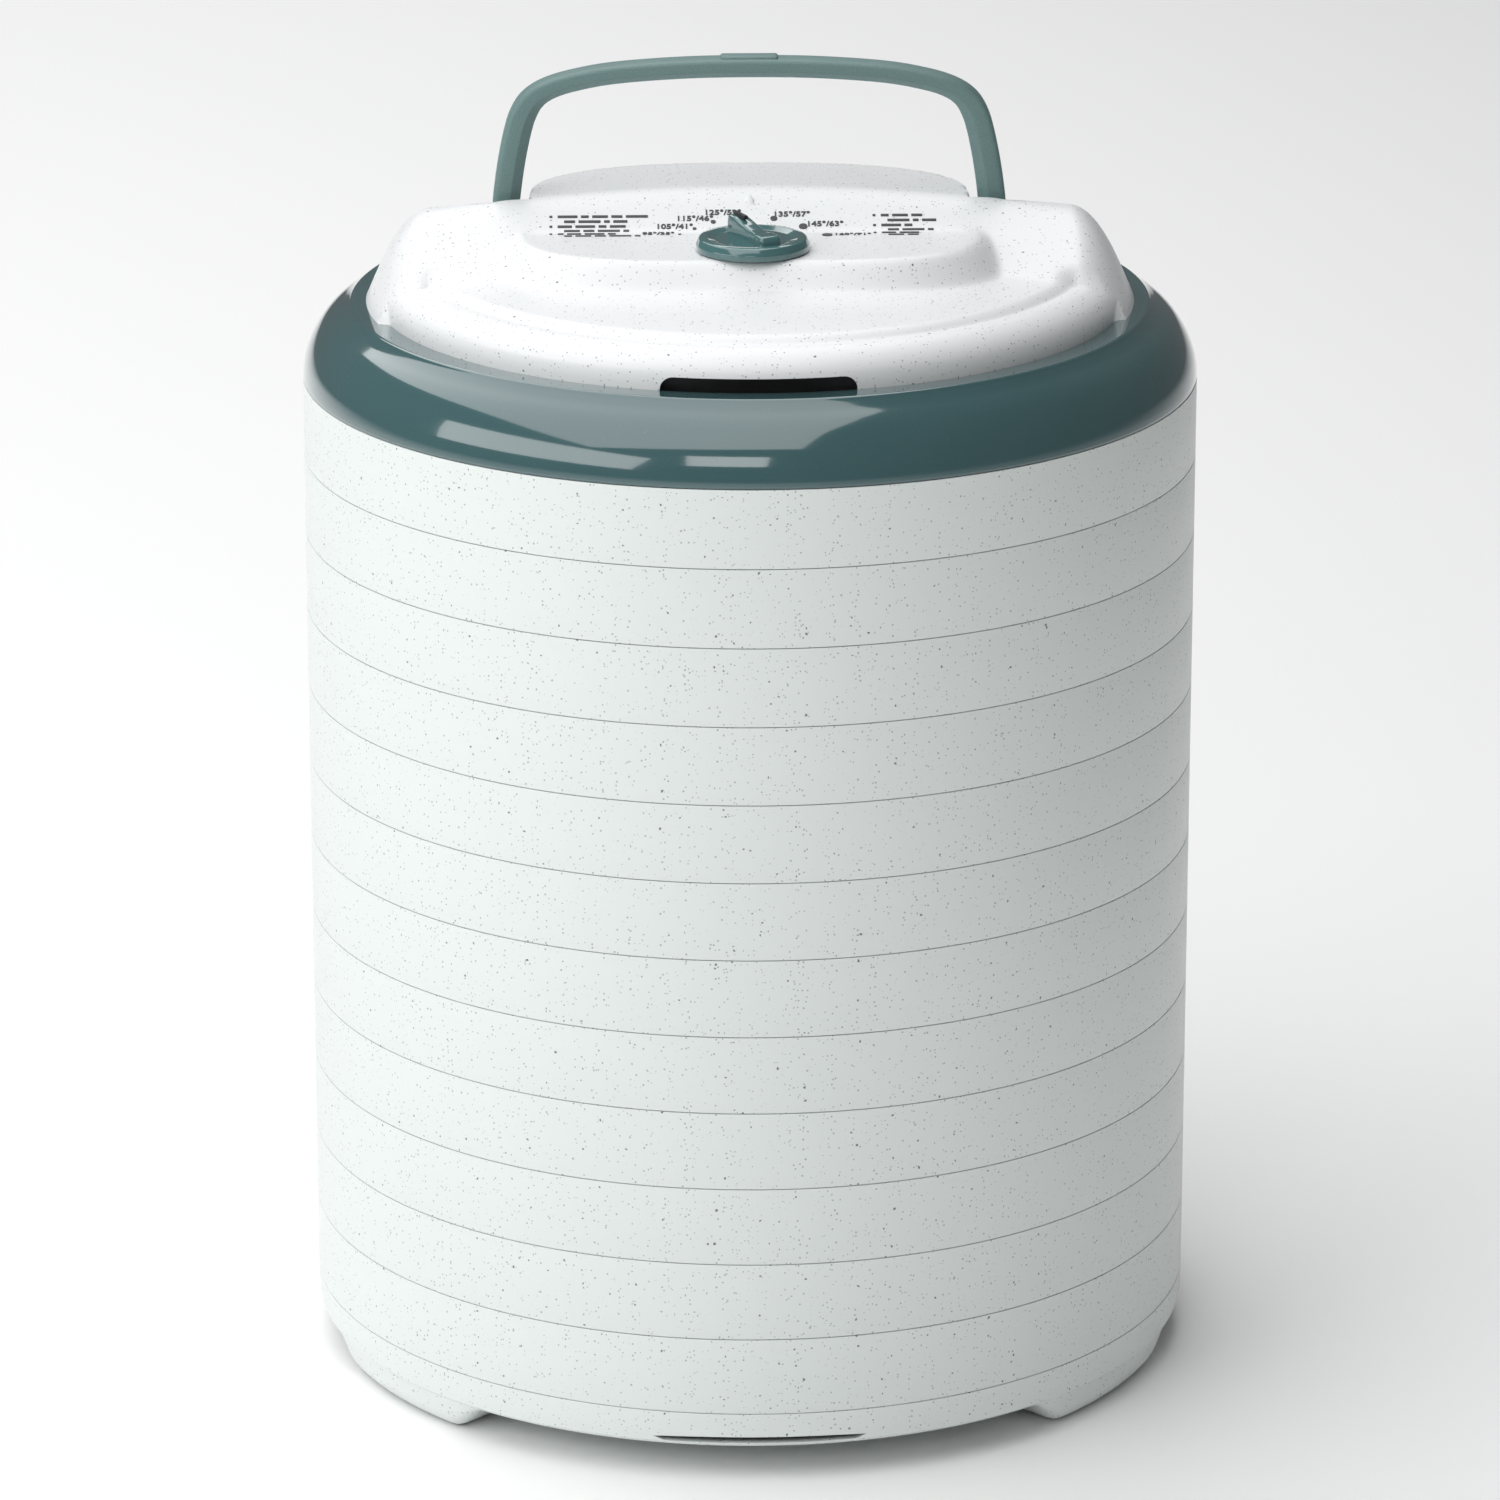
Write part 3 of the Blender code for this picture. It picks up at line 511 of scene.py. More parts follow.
def makeBase():
    look = {
        "segments": 360,
        "feet": (-33.0, 33.0, 147.0, 213.0),  # turns of the four feet
        "footFlat": 11.5,  # half the angle of a foot's flat face
        "footFlare": 7.0,
        "footSpan": (136.0, 148.5, 160.5, 169.3),
        "slotWidth": 81.0,
        "slot": (-11.8, -9.3),  # under the pan's rim, mm
    }
    steps = look["segments"]
    angles = np.arange(steps) * 2 * math.pi / steps
    inner, flatIn, flatOut, outer = look["footSpan"]
    rim = baseTop / mm
    edge = rim - 14.4
    radii = np.concatenate(
        [np.linspace(30, 132, 18), np.linspace(135, 160, 20), np.linspace(161, 169.3, 14)]
    )
    rows = []
    # inside of the pan, then over the rim and down its outer wall
    inside = [(30, edge + 2.1, 0), (168.3, edge + 2.1, 1.2), (169.7, rim, 0.3), (171.5, rim, 0.3)]
    for radius, height in fillet(inside + [(171.5, rim - 2.0, 0)], 4)[:-1]:
        rows.append((np.full(steps, radius), np.full(steps, height)))
    wall = ((171.48, rim - 0.3), (171.45, rim - 5.0), (171.2, rim - 9.5), (170.7, rim - 12.2))
    for radius, height in wall:
        rows.append((np.full(steps, radius * mm), np.full(steps, height * mm)))
    # underside, with four feet
    turns = np.degrees(angles)
    nearest = np.min([np.abs((turns - foot + 180) % 360 - 180) for foot in look["feet"]], axis=0)
    along = 1 - easeStep(nearest, look["footFlat"], look["footFlat"] + look["footFlare"])
    for radius in radii[::-1]:
        level = along * easeStep(radius, inner, flatIn)
        reach = np.clip((radius - flatOut) / (outer - flatOut), 0, 1)
        level = level * math.sqrt(1 - reach**2) if radius > flatOut else level
        bottom = edge + 0.9 * max(0.0, (radius - 166.0) / 3.3) ** 2
        rows.append((np.full(steps, radius * mm), bottom * (1.0 - level) * mm))
    verts = []
    for radius, height in rows:
        verts += list(zip(radius * np.cos(angles), radius * np.sin(angles), height))
    faces = []
    for row in range(len(rows) - 1):
        for step in range(steps):
            after = (step + 1) % steps
            low, high = row * steps, (row + 1) * steps
            faces.append((low + step, high + step, high + after, low + after))
    top, bottom = len(verts), len(verts) + 1
    verts += [(0, 0, (edge + 2.1) * mm), (0, 0, edge * mm)]
    last = (len(rows) - 1) * steps
    for step in range(steps):
        after = (step + 1) % steps
        faces.append((top, step, after))
        faces.append((bottom, last + after, last + step))
    pan = addMesh("basePan", verts, faces, whiteTrays, 30.0)
    fixNormals(pan.data)
    # a slot that narrows to its ends
    low, high = ((rim + part) * mm for part in look["slot"])
    half = look["slotWidth"] / 2 * mm
    outline = []
    for step in range(41):
        x = -half + 2 * half * step / 40
        outline.append((x, high - 0.0009 * abs(x / half) ** 3))
    outline += [(x, low - 0.0001) for x in (half * 0.9, 0.0, -half * 0.9)]
    cutter = addPrism("slotCutter", outline, -0.19, -0.155)
    change(pan, cutter)
    pan.data.set_sharp_from_angle(angle=math.radians(35))
    finishPiece(pan, "base", "speckled_plastic", "base_pan")


def latticeGraph():
    graph = Graph(
        "floorLattice",
        {
            "Inner Radius": "Float",
            "Ring Pitch": "Float",
            "Rings": "Int",
            "Outer Radius": "Float",
            "Spokes": "Int",
            "Bar Width": "Float",
            "Bar Height": "Float",
            "Level": "Float",
            "Segments": "Int",
        },
    )
    given = graph.given.outputs
    index = graph.add("InputIndex").outputs[0]
    radius = graph.calc("ADD", given["Inner Radius"], graph.calc("MULTIPLY", index, given["Ring Pitch"]))
    centres = graph.add("Points", None, {"Count": given["Rings"]})
    circle = graph.add("CurvePrimitiveCircle", None, {"Resolution": given["Segments"], "Radius": 1.0})
    rings = graph.add(
        "InstanceOnPoints",
        None,
        {0: centres.outputs[0], "Instance": circle.outputs[0], "Scale": graph.vector(radius, radius, 1.0)},
    )
    section = graph.add(
        "CurvePrimitiveQuadrilateral", None, {"Width": given["Bar Height"], "Height": given["Bar Width"]}
    )
    loose = graph.add("RealizeInstances", None, {0: rings.outputs[0]})
    bars = graph.add("CurveToMesh", None, {0: loose.outputs[0], 1: section.outputs[0]})
    # straight spokes join the rings
    length = graph.calc("SUBTRACT", given["Outer Radius"], given["Inner Radius"])
    middle = graph.calc("ADD", given["Inner Radius"], graph.calc("MULTIPLY", length, 0.5))
    bar = graph.add("MeshCube", None, {0: graph.vector(length, given["Bar Width"], given["Bar Height"])})
    moved = graph.add("Transform", None, {0: bar.outputs[0], "Translation": graph.vector(middle, 0.0, 0.0)})
    turn = graph.calc("DIVIDE", graph.calc("MULTIPLY", index, 2 * math.pi), given["Spokes"])
    hubs = graph.add("Points", None, {"Count": given["Spokes"]})
    around = graph.add("FunctionNodeEulerToRotation", None, {0: graph.vector(0.0, 0.0, turn)})
    spokes = graph.add(
        "InstanceOnPoints",
        None,
        {0: hubs.outputs[0], "Instance": moved.outputs[0], "Rotation": around.outputs[0]},
    )
    up = graph.vector(0.0, 0.0, given["Level"])
    lifted = [
        graph.add("Transform", None, {0: part, "Translation": up}).outputs[0]
        for part in (bars.outputs[0], spokes.outputs[0])
    ]
    return graph, lifted


def makeTrays():
    look = {
        "segments": 160,
        "edge": 0.25,  # rounding of the wall's top and bottom edges, mm
        "ringPitch": 0.0055,
        "spokes": 48,
        "bar": 0.0016,
        "ribs": 8,
    }
    wall = revolve(
        "trayWall",
        fillet(
            [
                (171.5, pitch / mm - 0.05, look["edge"]),
                (171.5, 0.3, look["edge"]),
                (169.1, 0.3, 0),
                (169.1, -3.0, 0.4),
                (167.9, -3.0, 0.4),
                (169.7, pitch / mm - 0.05, look["edge"]),
            ],
            4,
        ),
        whiteTrays,
        look["segments"],
        sharp=50.0,
    )
    duct = revolve(
        "trayDuct",
        fillet([(150.5, 20.0, 0.6), (150.5, 6.0, 0), (148.8, 6.0, 0), (148.8, 20.0, 0.6)], 3),
        whiteTrays,
        96,
    )
    hub = revolve(
        "trayHub",
        fillet([(40.5, 9.0, 0.6), (40.5, 6.0, 0), (38.2, 6.0, 0), (38.2, 9.0, 0.6)], 3),
        whiteTrays,
        72,
    )
    graph, lifted = latticeGraph()
    graph.finish(lifted, whiteTrays)
    floor = graph.build(
        "trayFloor",
        whiteTrays,
        {
            "Inner Radius": 0.0398,
            "Ring Pitch": look["ringPitch"],
            "Rings": 20,
            "Outer Radius": 0.1495,
            "Spokes": look["spokes"],
            "Bar Width": look["bar"],
            "Bar Height": 0.0016,
            "Level": 0.0068,
            "Segments": 96,
        },
    )
    parts = [wall, duct, hub, floor]
    for index in range(look["ribs"]):
        rib = roundedBox("trayRib", (0.0205, 0.0020, 0.0115), 0.0005, whiteTrays, 2)
        spin = Matrix.Rotation(2 * math.pi * index / look["ribs"], 4, "Z")
        parts.append(place(rib, spin @ Matrix.Translation((0.1595, 0, 0.0125))))
    tray = merge("tray", parts, whiteTrays, 50.0)
    for index, node in enumerate(trayNames):
        mesh = tray.data.copy()
        piece = bpy.data.objects.new(f"visual{node.title().replace('_', '')}", mesh)
        scene.collection.objects.link(piece)
        mesh.transform(Matrix.Translation((0, 0, lidLow - pitch * (index + 1))))
        finishPiece(piece, node, "speckled_plastic", node)
    bpy.data.objects.remove(tray)


makeBase()
makeTrays()
print("stack made")


def smoothLine(points, steps=6):
    # a curve through every point, as points in between
    line = []
    padded = [points[0]] + list(points) + [points[-1]]
    for i in range(1, len(padded) - 2):
        a, b, c, d = (np.array(padded[i + k], float) for k in (-1, 0, 1, 2))
        for step in range(steps):
            t = step / steps
            value = 2 * b + (c - a) * t
            value = value + (2 * a - 5 * b + 4 * c - d) * t**2 + (3 * b - a - 3 * c + d) * t**3
            line.append(tuple(value / 2))
    line.append(tuple(points[-1]))
    return line


def makeRing():
    look = {
        "segments": 288,
        "shoulder": (
            (152.9, 28.75),
            (154.0, 27.6),
            (156.6, 25.5),
            (160.2, 23.2),
            (163.4, 20.4),
            (166.2, 16.8),
            (168.6, 12.6),
            (170.4, 8.0),
            (171.3, 3.6),
            (171.5, 0.9),
        ),
    }
    outer = smoothLine(look["shoulder"], 4)
    profile = [(143.3, 28.9), (143.9, 29.0), (151.6, 29.0), (152.2, 29.05)] + outer + [(171.3, 0.35)]
    profile += [(169.1, 0.35), (169.1, -2.8), (167.9, -3.0), (167.9, 6.5), (164.0, 15.0)]
    profile += [(159.0, 20.2), (153.0, 23.5), (150.0, 26.5), (143.3, 26.5)]
    points = [(x * mm, z * mm) for x, z in profile]
    ring = revolve("lidRing", points, greyGloss, look["segments"], lidLow, 35)
    hole = revolve("cordCutter", [(0, -0.012), (0.0057, -0.012), (0.0057, 0.012), (0, 0.012)], black, 32)
    place(hole, turnedTo((0, 1, 0), (0, 0.168, lidLow + 0.012)))
    change(ring, hole)
    ring.data.set_sharp_from_angle(angle=math.radians(35))
    finishPiece(ring, "lid", "grey_plastic", "lid_ring")


def lower(a, b, blend):
    # the lower of two heights with a rounded change between them
    h = np.clip(0.5 + 0.5 * (b - a) / blend, 0, 1)
    return b * (1 - h) + a * h - blend * h * (1 - h)


def higher(a, b, blend):
    return -lower(-a, -b, blend)


coverLook = {
    "segments": 320,
    "crown": 69.2,
    "sag": 0.0004,
    "frontSlope": 0.4225,
    "terrace": 49.5,
    "panelTop": 58.5,
    "panelHalf": (97.5, 68.0),
    "panelPower": 3.2,
    "skirtEdge": 34.0,
    "intake": (72.5, 4.8),
}


def coverHeight(x, y):
    # the cover's outer surface in mm above the stack, for x and y in mm
    r = np.hypot(x, y)
    crown = coverLook["crown"] - coverLook["sag"] * r**2
    plane = coverLook["crown"] + (y - 7.0) * coverLook["frontSlope"]
    ridge = lower(crown, plane, 3.5)
    span = (np.abs(x / 87.0) ** 3.0 + np.abs((y - 7.0) / 53.0) ** 3.0) ** (1 / 3.0)
    reach = np.hypot(x, y - 7.0) / np.maximum(span, 1e-6)
    oval = (1 - span) * reach
    inside = np.maximum(8.4 - y, oval)
    ridge = lower(ridge, 49.5 + 6.0 * inside, 2.0)
    terrace = coverLook["terrace"] - 0.0055 * np.maximum(r - 95.0, 0) ** 2
    terrace = 40.0 + (terrace - 40.0) * easeStep(y, -52.0, -34.0)
    shelf = 50.5 - 0.0003 * r**2
    shelf = np.where(y < 0, shelf, 40.0)
    halfX, halfY = coverLook["panelHalf"]
    power = coverLook["panelPower"]
    v = np.minimum(y + 5.0, 0)
    edge = (np.abs(x / halfX) ** power + np.abs(v / halfY) ** power) ** (1 / power)
    far = np.hypot(x, v) / np.maximum(edge, 1e-6)
    pad = lower(coverLook["panelTop"], 48.3 + 1.12 * (1 - edge) * far, 3.0)
    pad = np.where(y < 4.0, pad, 40.0)
    body = higher(higher(ridge, pad, 1.5), higher(terrace, shelf, 1.0), 1.5)
    depth = np.clip((143.0 - r) / 14.0, 0, 1)
    skirt = coverLook["skirtEdge"] + 9.5 * (1 - (1 - depth) ** 2.2) ** (1 / 2.2)
    skirt = skirt + np.maximum(129.0 - r, 0) * 0.9
    skirt = np.where(r > 143.01, 24.0, lower(body, skirt, 2.5))
    rear = lower(body, 28.0 + 2.3 * (147.4 - r), 22.0)
    back = easeStep(y, -43.0, -40.0)
    return skirt * (1 - back) + rear * back


def surfaceAt(x, y):
    # height of the cover at x, y in metres
    return float(coverHeight(np.float64(x / mm), np.float64(y / mm))) * mm + lidLow


def makeCover():
    steps = coverLook["segments"]
    angles = np.arange(steps) * 2 * math.pi / steps - math.pi / 2
    radii = np.concatenate(
        [
            np.linspace(1.6, 128, 92),
            np.linspace(129, 134, 6),
            np.linspace(134.5, 142.6, 18),
            [142.85, 143.0, 143.06],
            np.linspace(143.6, 148.4, 9),
        ]
    )
    r, angle = np.meshgrid(radii, angles, indexing="ij")
    x, y = r * np.cos(angle), r * np.sin(angle)
    z = coverHeight(x, y)
    verts = np.stack([x, y, z], -1).reshape(-1, 3) * mm
    verts[:, 2] += lidLow
    verts = list(map(tuple, verts))
    verts.append((0, 0, coverLook["crown"] * mm + lidLow))
    faces = []
    for row in range(len(radii) - 1):
        for step in range(steps):
            after = (step + 1) % steps
            low, high = row * steps, (row + 1) * steps
            faces.append((low + step, high + step, high + after, low + after))
    for step in range(steps):
        faces.append((len(verts) - 1, step, (step + 1) % steps))
    cover = addMesh("topCover", verts, faces, whiteCover, 55.0)
    shell = cover.modifiers.new("shell", "SOLIDIFY")
    shell.thickness = 0.0022
    shell.offset = -1.0
    bake(cover)
    cutters = []
    width, height = coverLook["intake"]
    half, top = width / 2, 29.3 + height
    outline = [(-half, 28.0), (half, 28.0), (half, top), (-half, top)]
    corners = [(px, pz, 5.0 if pz > 30 else 0) for px, pz in outline]
    loop = [(point[0], point[1] + lidLow) for point in fillet(corners, 8)]
    cutters.append(addPrism("intakeCutter", loop, -0.16, -0.128))
    drill = revolve("spindleHole", [(0, -0.01), (0.0044, -0.01), (0.0044, 0.01), (0, 0.01)], black, 24)
    place(drill, Matrix.Translation((dialAt[0], dialAt[1], lidLow + 0.058)))
    cutters.append(drill)
    change(cover, merge("coverCutter", cutters, black))
    cover.data.set_sharp_from_angle(angle=math.radians(50))
    finishPiece(cover, "lid", "speckled_plastic", "top_cover")
    # a black box close behind the intake, painted shade that darkens the opening
    intakeShade = roundedBox("intakeBaffle", (0.084, 0.0015, 0.013), 0.0005, black)
    place(intakeShade, Matrix.Translation((0, -0.1330, lidLow + 0.0315)))
    finishPiece(intakeShade, "lid", "black_plastic")


makeRing()
makeCover()
print("lid made")


bowLook = {
    "half": 93.3,
    "rise": 58.3,
    "line": (
        (93.3, 0.0),
        (92.9, 8.0),
        (91.0, 21.5),
        (88.4, 34.0),
        (86.0, 41.0),
        (82.5, 46.2),
        (76.8, 50.0),
        (67.6, 53.0),
        (51.6, 55.9),
        (26.0, 57.8),
        (0.0, 58.3),
    ),
    "width": 10.5,
    "thickness": 7.3,
    "depth": 11.8,
    "pivot": (pinAt[1] / mm, (pinAt[2] - lidLow) / mm),
}


def makeHandle():
    stations = 132
    halfWidth, halfDepth = bowLook["width"] / 2, bowLook["depth"] / 2
    section = fillet(
        [
            (halfWidth, -halfDepth, 2.2),
            (halfWidth, halfDepth, 2.2),
            (-halfWidth + 3.8, halfDepth, 1.2),
            (-halfWidth, halfDepth - 3.2, 1.2),
            (-halfWidth, -halfDepth + 3.2, 1.2),
            (-halfWidth + 3.8, -halfDepth, 1.2),
        ],
        4,
    )
    y, level = bowLook["pivot"]
    half, rise = bowLook["half"], bowLook["rise"]
    other = [(-x, z) for x, z in reversed(bowLook["line"][:-1])]
    path = np.array(smoothLine(list(bowLook["line"]) + other, 12))
    lengths = np.concatenate([[0], np.cumsum(np.hypot(*np.diff(path, axis=0).T))])
    targets = np.linspace(0, lengths[-1], stations)
    px = np.interp(targets, lengths, path[:, 0])
    pz = np.interp(targets, lengths, path[:, 1])
    tangentX, tangentZ = np.gradient(px), np.gradient(pz)
    size = np.hypot(tangentX, tangentZ)
    verts = []
    for i in range(stations):
        outX, outZ = tangentZ[i] / size[i], -tangentX[i] / size[i]
        if i in (0, stations - 1):
            outX, outZ = math.copysign(1.0, px[i]), 0.0
        # the bow is thinner along its top than across its legs
        slim = bowLook["thickness"] / bowLook["width"]
        slim = slim + (1 - slim) * outX**2
        for along, side in section:
            x = px[i] * mm + outX * along * slim
            z = (level + pz[i]) * mm + outZ * along * slim + lidLow
            verts.append((x, y * mm + side, z))
    n = len(section)
    faces = []
    for i in range(stations - 1):
        for k in range(n):
            after = (k + 1) % n
            faces.append((i * n + k, i * n + after, (i + 1) * n + after, (i + 1) * n + k))
    faces.append(tuple(range(n)))
    faces.append(tuple(reversed(range((stations - 1) * n, stations * n))))
    bow = addMesh("bow", verts, faces, greyGrain)
    fixNormals(bow.data)
    parts = [bow]
    for side in (-1, 1):
        profile = fillet([(0, 5.25, 0), (5.9, 5.25, 2.0), (5.9, -5.25, 2.0), (0, -5.25, 0)], 5)
        foot = revolve("bowFoot", profile, greyGrain, 40, closed=False)
        place(foot, turnedTo((1, 0, 0), (side * half * mm, y * mm, level * mm + lidLow)))
        parts.append(foot)
    tab = roundedBox("fingerTab", (0.0220, 0.0072, 0.0040), 0.0010, greyGrain, 4)
    top = level + rise + bowLook["thickness"] / 2 + 1.0
    parts.append(place(tab, Matrix.Translation((0, y * mm, (top - 2.0) * mm + lidLow))))
    handle = merge("handleBow", parts, greyGrain, 38.0)
    finishPiece(handle, "handle", "textured_grey_plastic", "handle")


def makePivots():
    y, level = bowLook["pivot"]
    for side, node in ((-1, "handle_pivot_left"), (1, "handle_pivot_right")):
        profile = fillet(
            [(0, 0, 0), (2.5, 0, 0.3), (2.5, 19.4, 0), (4.5, 19.4, 0), (4.5, 21.4, 0.9), (0, 21.4, 0)],
            4,
        )
        pin = revolve(node + "Pin", profile, greyGloss, 36, closed=False)
        slot = roundedBox("driverSlot", (0.0011, 0.0070, 0.0016), 0.0002, greyGloss, 1)
        place(slot, Matrix.Translation((0, 0, 0.0214)))
        change(pin, slot)
        place(pin, turnedTo((side, 0, 0), (side * 0.0800, y * mm, level * mm + lidLow)))
        pin.data.set_sharp_from_angle(angle=math.radians(35))
        finishPiece(pin, "lid", "grey_plastic", node)


def makeDial():
    look = {
        "at": (dialAt[0], dialAt[1]),
        "turn": math.radians(24.0),
        "stations": (-16.4, -16.0, -15.0, -12.0, -9.4, -8.2, -4.0, 2.0, 7.0, 11.0, 14.6, 15.8, 16.4),
        "tops": (64.6, 66.2, 66.9, 67.1, 67.1, 66.7, 67.0, 67.7, 68.5, 69.1, 69.3, 68.9, 67.6),
        "halves": (3.0, 3.7, 4.1, 4.2, 4.1, 3.5, 3.3, 3.3, 3.3, 3.3, 3.2, 2.9, 2.2),
    }
    base = fillet(
        [
            (0, 63.3, 0),
            (14.2, 62.8, 2.0),
            (17.6, 64.0, 1.2),
            (20.3, 63.6, 1.0),
            (21.5, 61.2, 1.0),
            (21.4, 58.95, 0.3),
            (0, 58.95, 0),
        ],
        5,
    )
    knob = revolve("knobBase", base, litDialGloss, 128, lidLow, closed=False)
    place(knob, Matrix.Translation((look["at"][0], look["at"][1], 0)))
    # the grip: a bar with a tall rear end, a sloping back and a block at the front
    along = np.linspace(look["stations"][0], look["stations"][-1], 60)
    tops = np.interp(along, look["stations"], look["tops"])
    halves = np.interp(along, look["stations"], look["halves"])
    verts = []
    for s, top, half in zip(along, tops, halves):
        for u, v in fillet(
            [(half + 0.5, 61.0, 0), (half, top, 1.1), (-half, top, 1.1), (-half - 0.5, 61.0, 0)], 5
        ):
            verts.append((u, s * mm, v))
    n = len(verts) // len(along)
    faces = []
    for i in range(len(along) - 1):
        for k in range(n):
            after = (k + 1) % n
            faces.append((i * n + k, i * n + after, (i + 1) * n + after, (i + 1) * n + k))
    faces.append(tuple(range(n)))
    faces.append(tuple(reversed(range((len(along) - 1) * n, len(along) * n))))
    grip = addMesh("knobGrip", verts, faces, litDialGloss)
    fixNormals(grip.data)
    spin = Matrix.Translation((*look["at"], lidLow)) @ Matrix.Rotation(look["turn"], 4, "Z")
    place(grip, spin)
    dial = merge("dialKnob", [knob, grip], litDialGloss, 38.0)
    finishPiece(dial, "dial", "grey_plastic", "dial_knob")
    pointer = roundedBox("dialPointer", (0.0018, 0.0098, 0.0014), 0.0003, black)
    place(pointer, spin @ Matrix.Translation((0, 0.0109, 0.0700 - 0.0007 + 0.0003)))
    finishPiece(pointer, "dial", "black_plastic", "dial_pointer")


def makeMarks():
    look = {
        # label, turn from straight back, dot radius in mm
        "settings": (
            ("95\u00b0/35\u00b0", 48, 0.6),
            ("105\u00b0/41\u00b0", 36, 0.75),
            ("115\u00b0/46\u00b0", 23, 0.95),
            ("125\u00b0/52\u00b0", 7, 1.15),
            ("135\u00b0/57\u00b0", -14, 1.35),
            ("145\u00b0/63\u00b0", -33, 1.65),
            ("160\u00b0/71\u00b0", -52, 2.0),
        ),
        "dotRing": 36.5,
        "textSize": 0.0040,
        "rowPitch": 2.9,
        "proud": 0.00016,
    }
    parts = []

    def stick(part, x, y):
        # lays a flat mark over the panel, each point at the cover's own height
        for vertex in part.data.vertices:
            px, py = vertex.co.x + x, vertex.co.y + y
            vertex.co = (px, py, surfaceAt(px, py) + look["proud"] + vertex.co.z)
        parts.append(part)

    for label, angle, size in look["settings"]:
        turn = math.radians(90 + angle)
        x = look["dotRing"] * mm * math.cos(turn) + dialAt[0]
        y = look["dotRing"] * mm * math.sin(turn) + dialAt[1]
        flat = [(0, 0.00012), (size * mm, 0.00012), (size * mm, -0.0002), (0, -0.0002)]
        stick(revolve("dot", flat, ink, 24, closed=False), x, y)
        curve = bpy.data.curves.new("number", "FONT")
        curve.body = label
        curve.size = look["textSize"]
        curve.align_x = "CENTER"
        curve.align_y = "CENTER"
        curve.extrude = 0.0001
        curve.offset = 0.00010
        curve.resolution_u = 3
        text = bpy.data.objects.new("number", curve)
        scene.collection.objects.link(text)
        mesh = bpy.data.meshes.new_from_object(text)
        bpy.data.objects.remove(text)
        side = -1 if angle > 0 else 1
        lean = abs(math.sin(math.radians(angle)))
        away = side * (4.5 + 4.0 * lean + size) * mm
        stick(addObject("number", mesh, ink), x + away, y + 0.0031 * (1 - lean))
    # two lists of short bars stand in for words
    words = (7.5, 3.0, 6.0, 4.2, 8.4, 2.2, 5.4)
    for side, start, rows, limit in ((-1, -76.0, 6, 38.0), (1, 47.0, 6, 28.0)):
        for row in range(rows):
            y = (-9.0 - look["rowPitch"] * row) * mm
            at = 0.0 if row % 2 == 0 else 5.0
            if row % 2 == 0:
                stick(roundedBox("listDot", (0.0011, 0.0011, 0.0003), 0.0001, ink, 1), start * mm, y)
                at = 2.6
            end = limit - (4.0 * row) % 9
            word = row * 3 + (side > 0)
            while at + words[word % 7] < end:
                width = words[word % 7]
                bar = roundedBox("listBar", (width * mm, 0.0013, 0.0003), 0.0001, ink, 1)
                stick(bar, (start + at + width / 2) * mm, y)
                at += width + 1.3
                word += 1
    marks = merge("panelMarks", parts, ink, 30.0)
    finishPiece(marks, "lid", "black_plastic")


makeHandle()
makePivots()
makeDial()
makeMarks()
print("handle and dial made")


def makeGuard():
    look = {"rings": 12, "pitch": 0.0044, "spokes": 16, "bar": 0.0016}
    pan = revolve(
        "guardPan",
        fillet(
            [(72, 5, 0), (147, 5, 1.2), (147, 20, 0.4), (149, 20, 0.4), (149, 3, 2.4), (72, 3, 0.4)],
            4,
        ),
        steel,
        144,
        lidLow,
    )
    hub = fillet([(0, 5, 0), (20, 5, 0.4), (20, 3, 0.4), (0, 3, 0)], 3)
    middle = revolve("guardHub", hub, steel, 64, lidLow, closed=False)
    graph, lifted = latticeGraph()
    graph.finish(lifted, steel)
    grille = graph.build(
        "guardGrille",
        steel,
        {
            "Inner Radius": 0.0200,
            "Ring Pitch": look["pitch"],
            "Rings": look["rings"],
            "Outer Radius": 0.0730,
            "Spokes": look["spokes"],
            "Bar Width": look["bar"],
            "Bar Height": 0.0016,
            "Level": lidLow + 0.0040,
            "Segments": 96,
        },
    )
    guard = merge("airGuard", [pan, middle, grille], steel, 35.0)
    finishPiece(guard, "lid", "steel", "air_guard")


def screwMesh(headRadius, headHeight, shankRadius, length):
    # head at the bottom, shank up, with a cross recess
    shape = [(0, 0, 0), (headRadius, 0, headHeight * 0.45), (headRadius, headHeight, 0)]
    shape += [(shankRadius, headHeight, 0), (shankRadius, length, 0.5), (0, length, 0)]
    screw = revolve("screw", fillet(shape, 3), steel, 28, closed=False)
    for turn in (0, 90):
        groove = roundedBox("recess", (headRadius * 1.2 * mm, 0.0007, 0.0014), 0.0001, steel, 1)
        place(groove, Matrix.Rotation(math.radians(turn), 4, "Z"))
        change(screw, groove)
    return screw


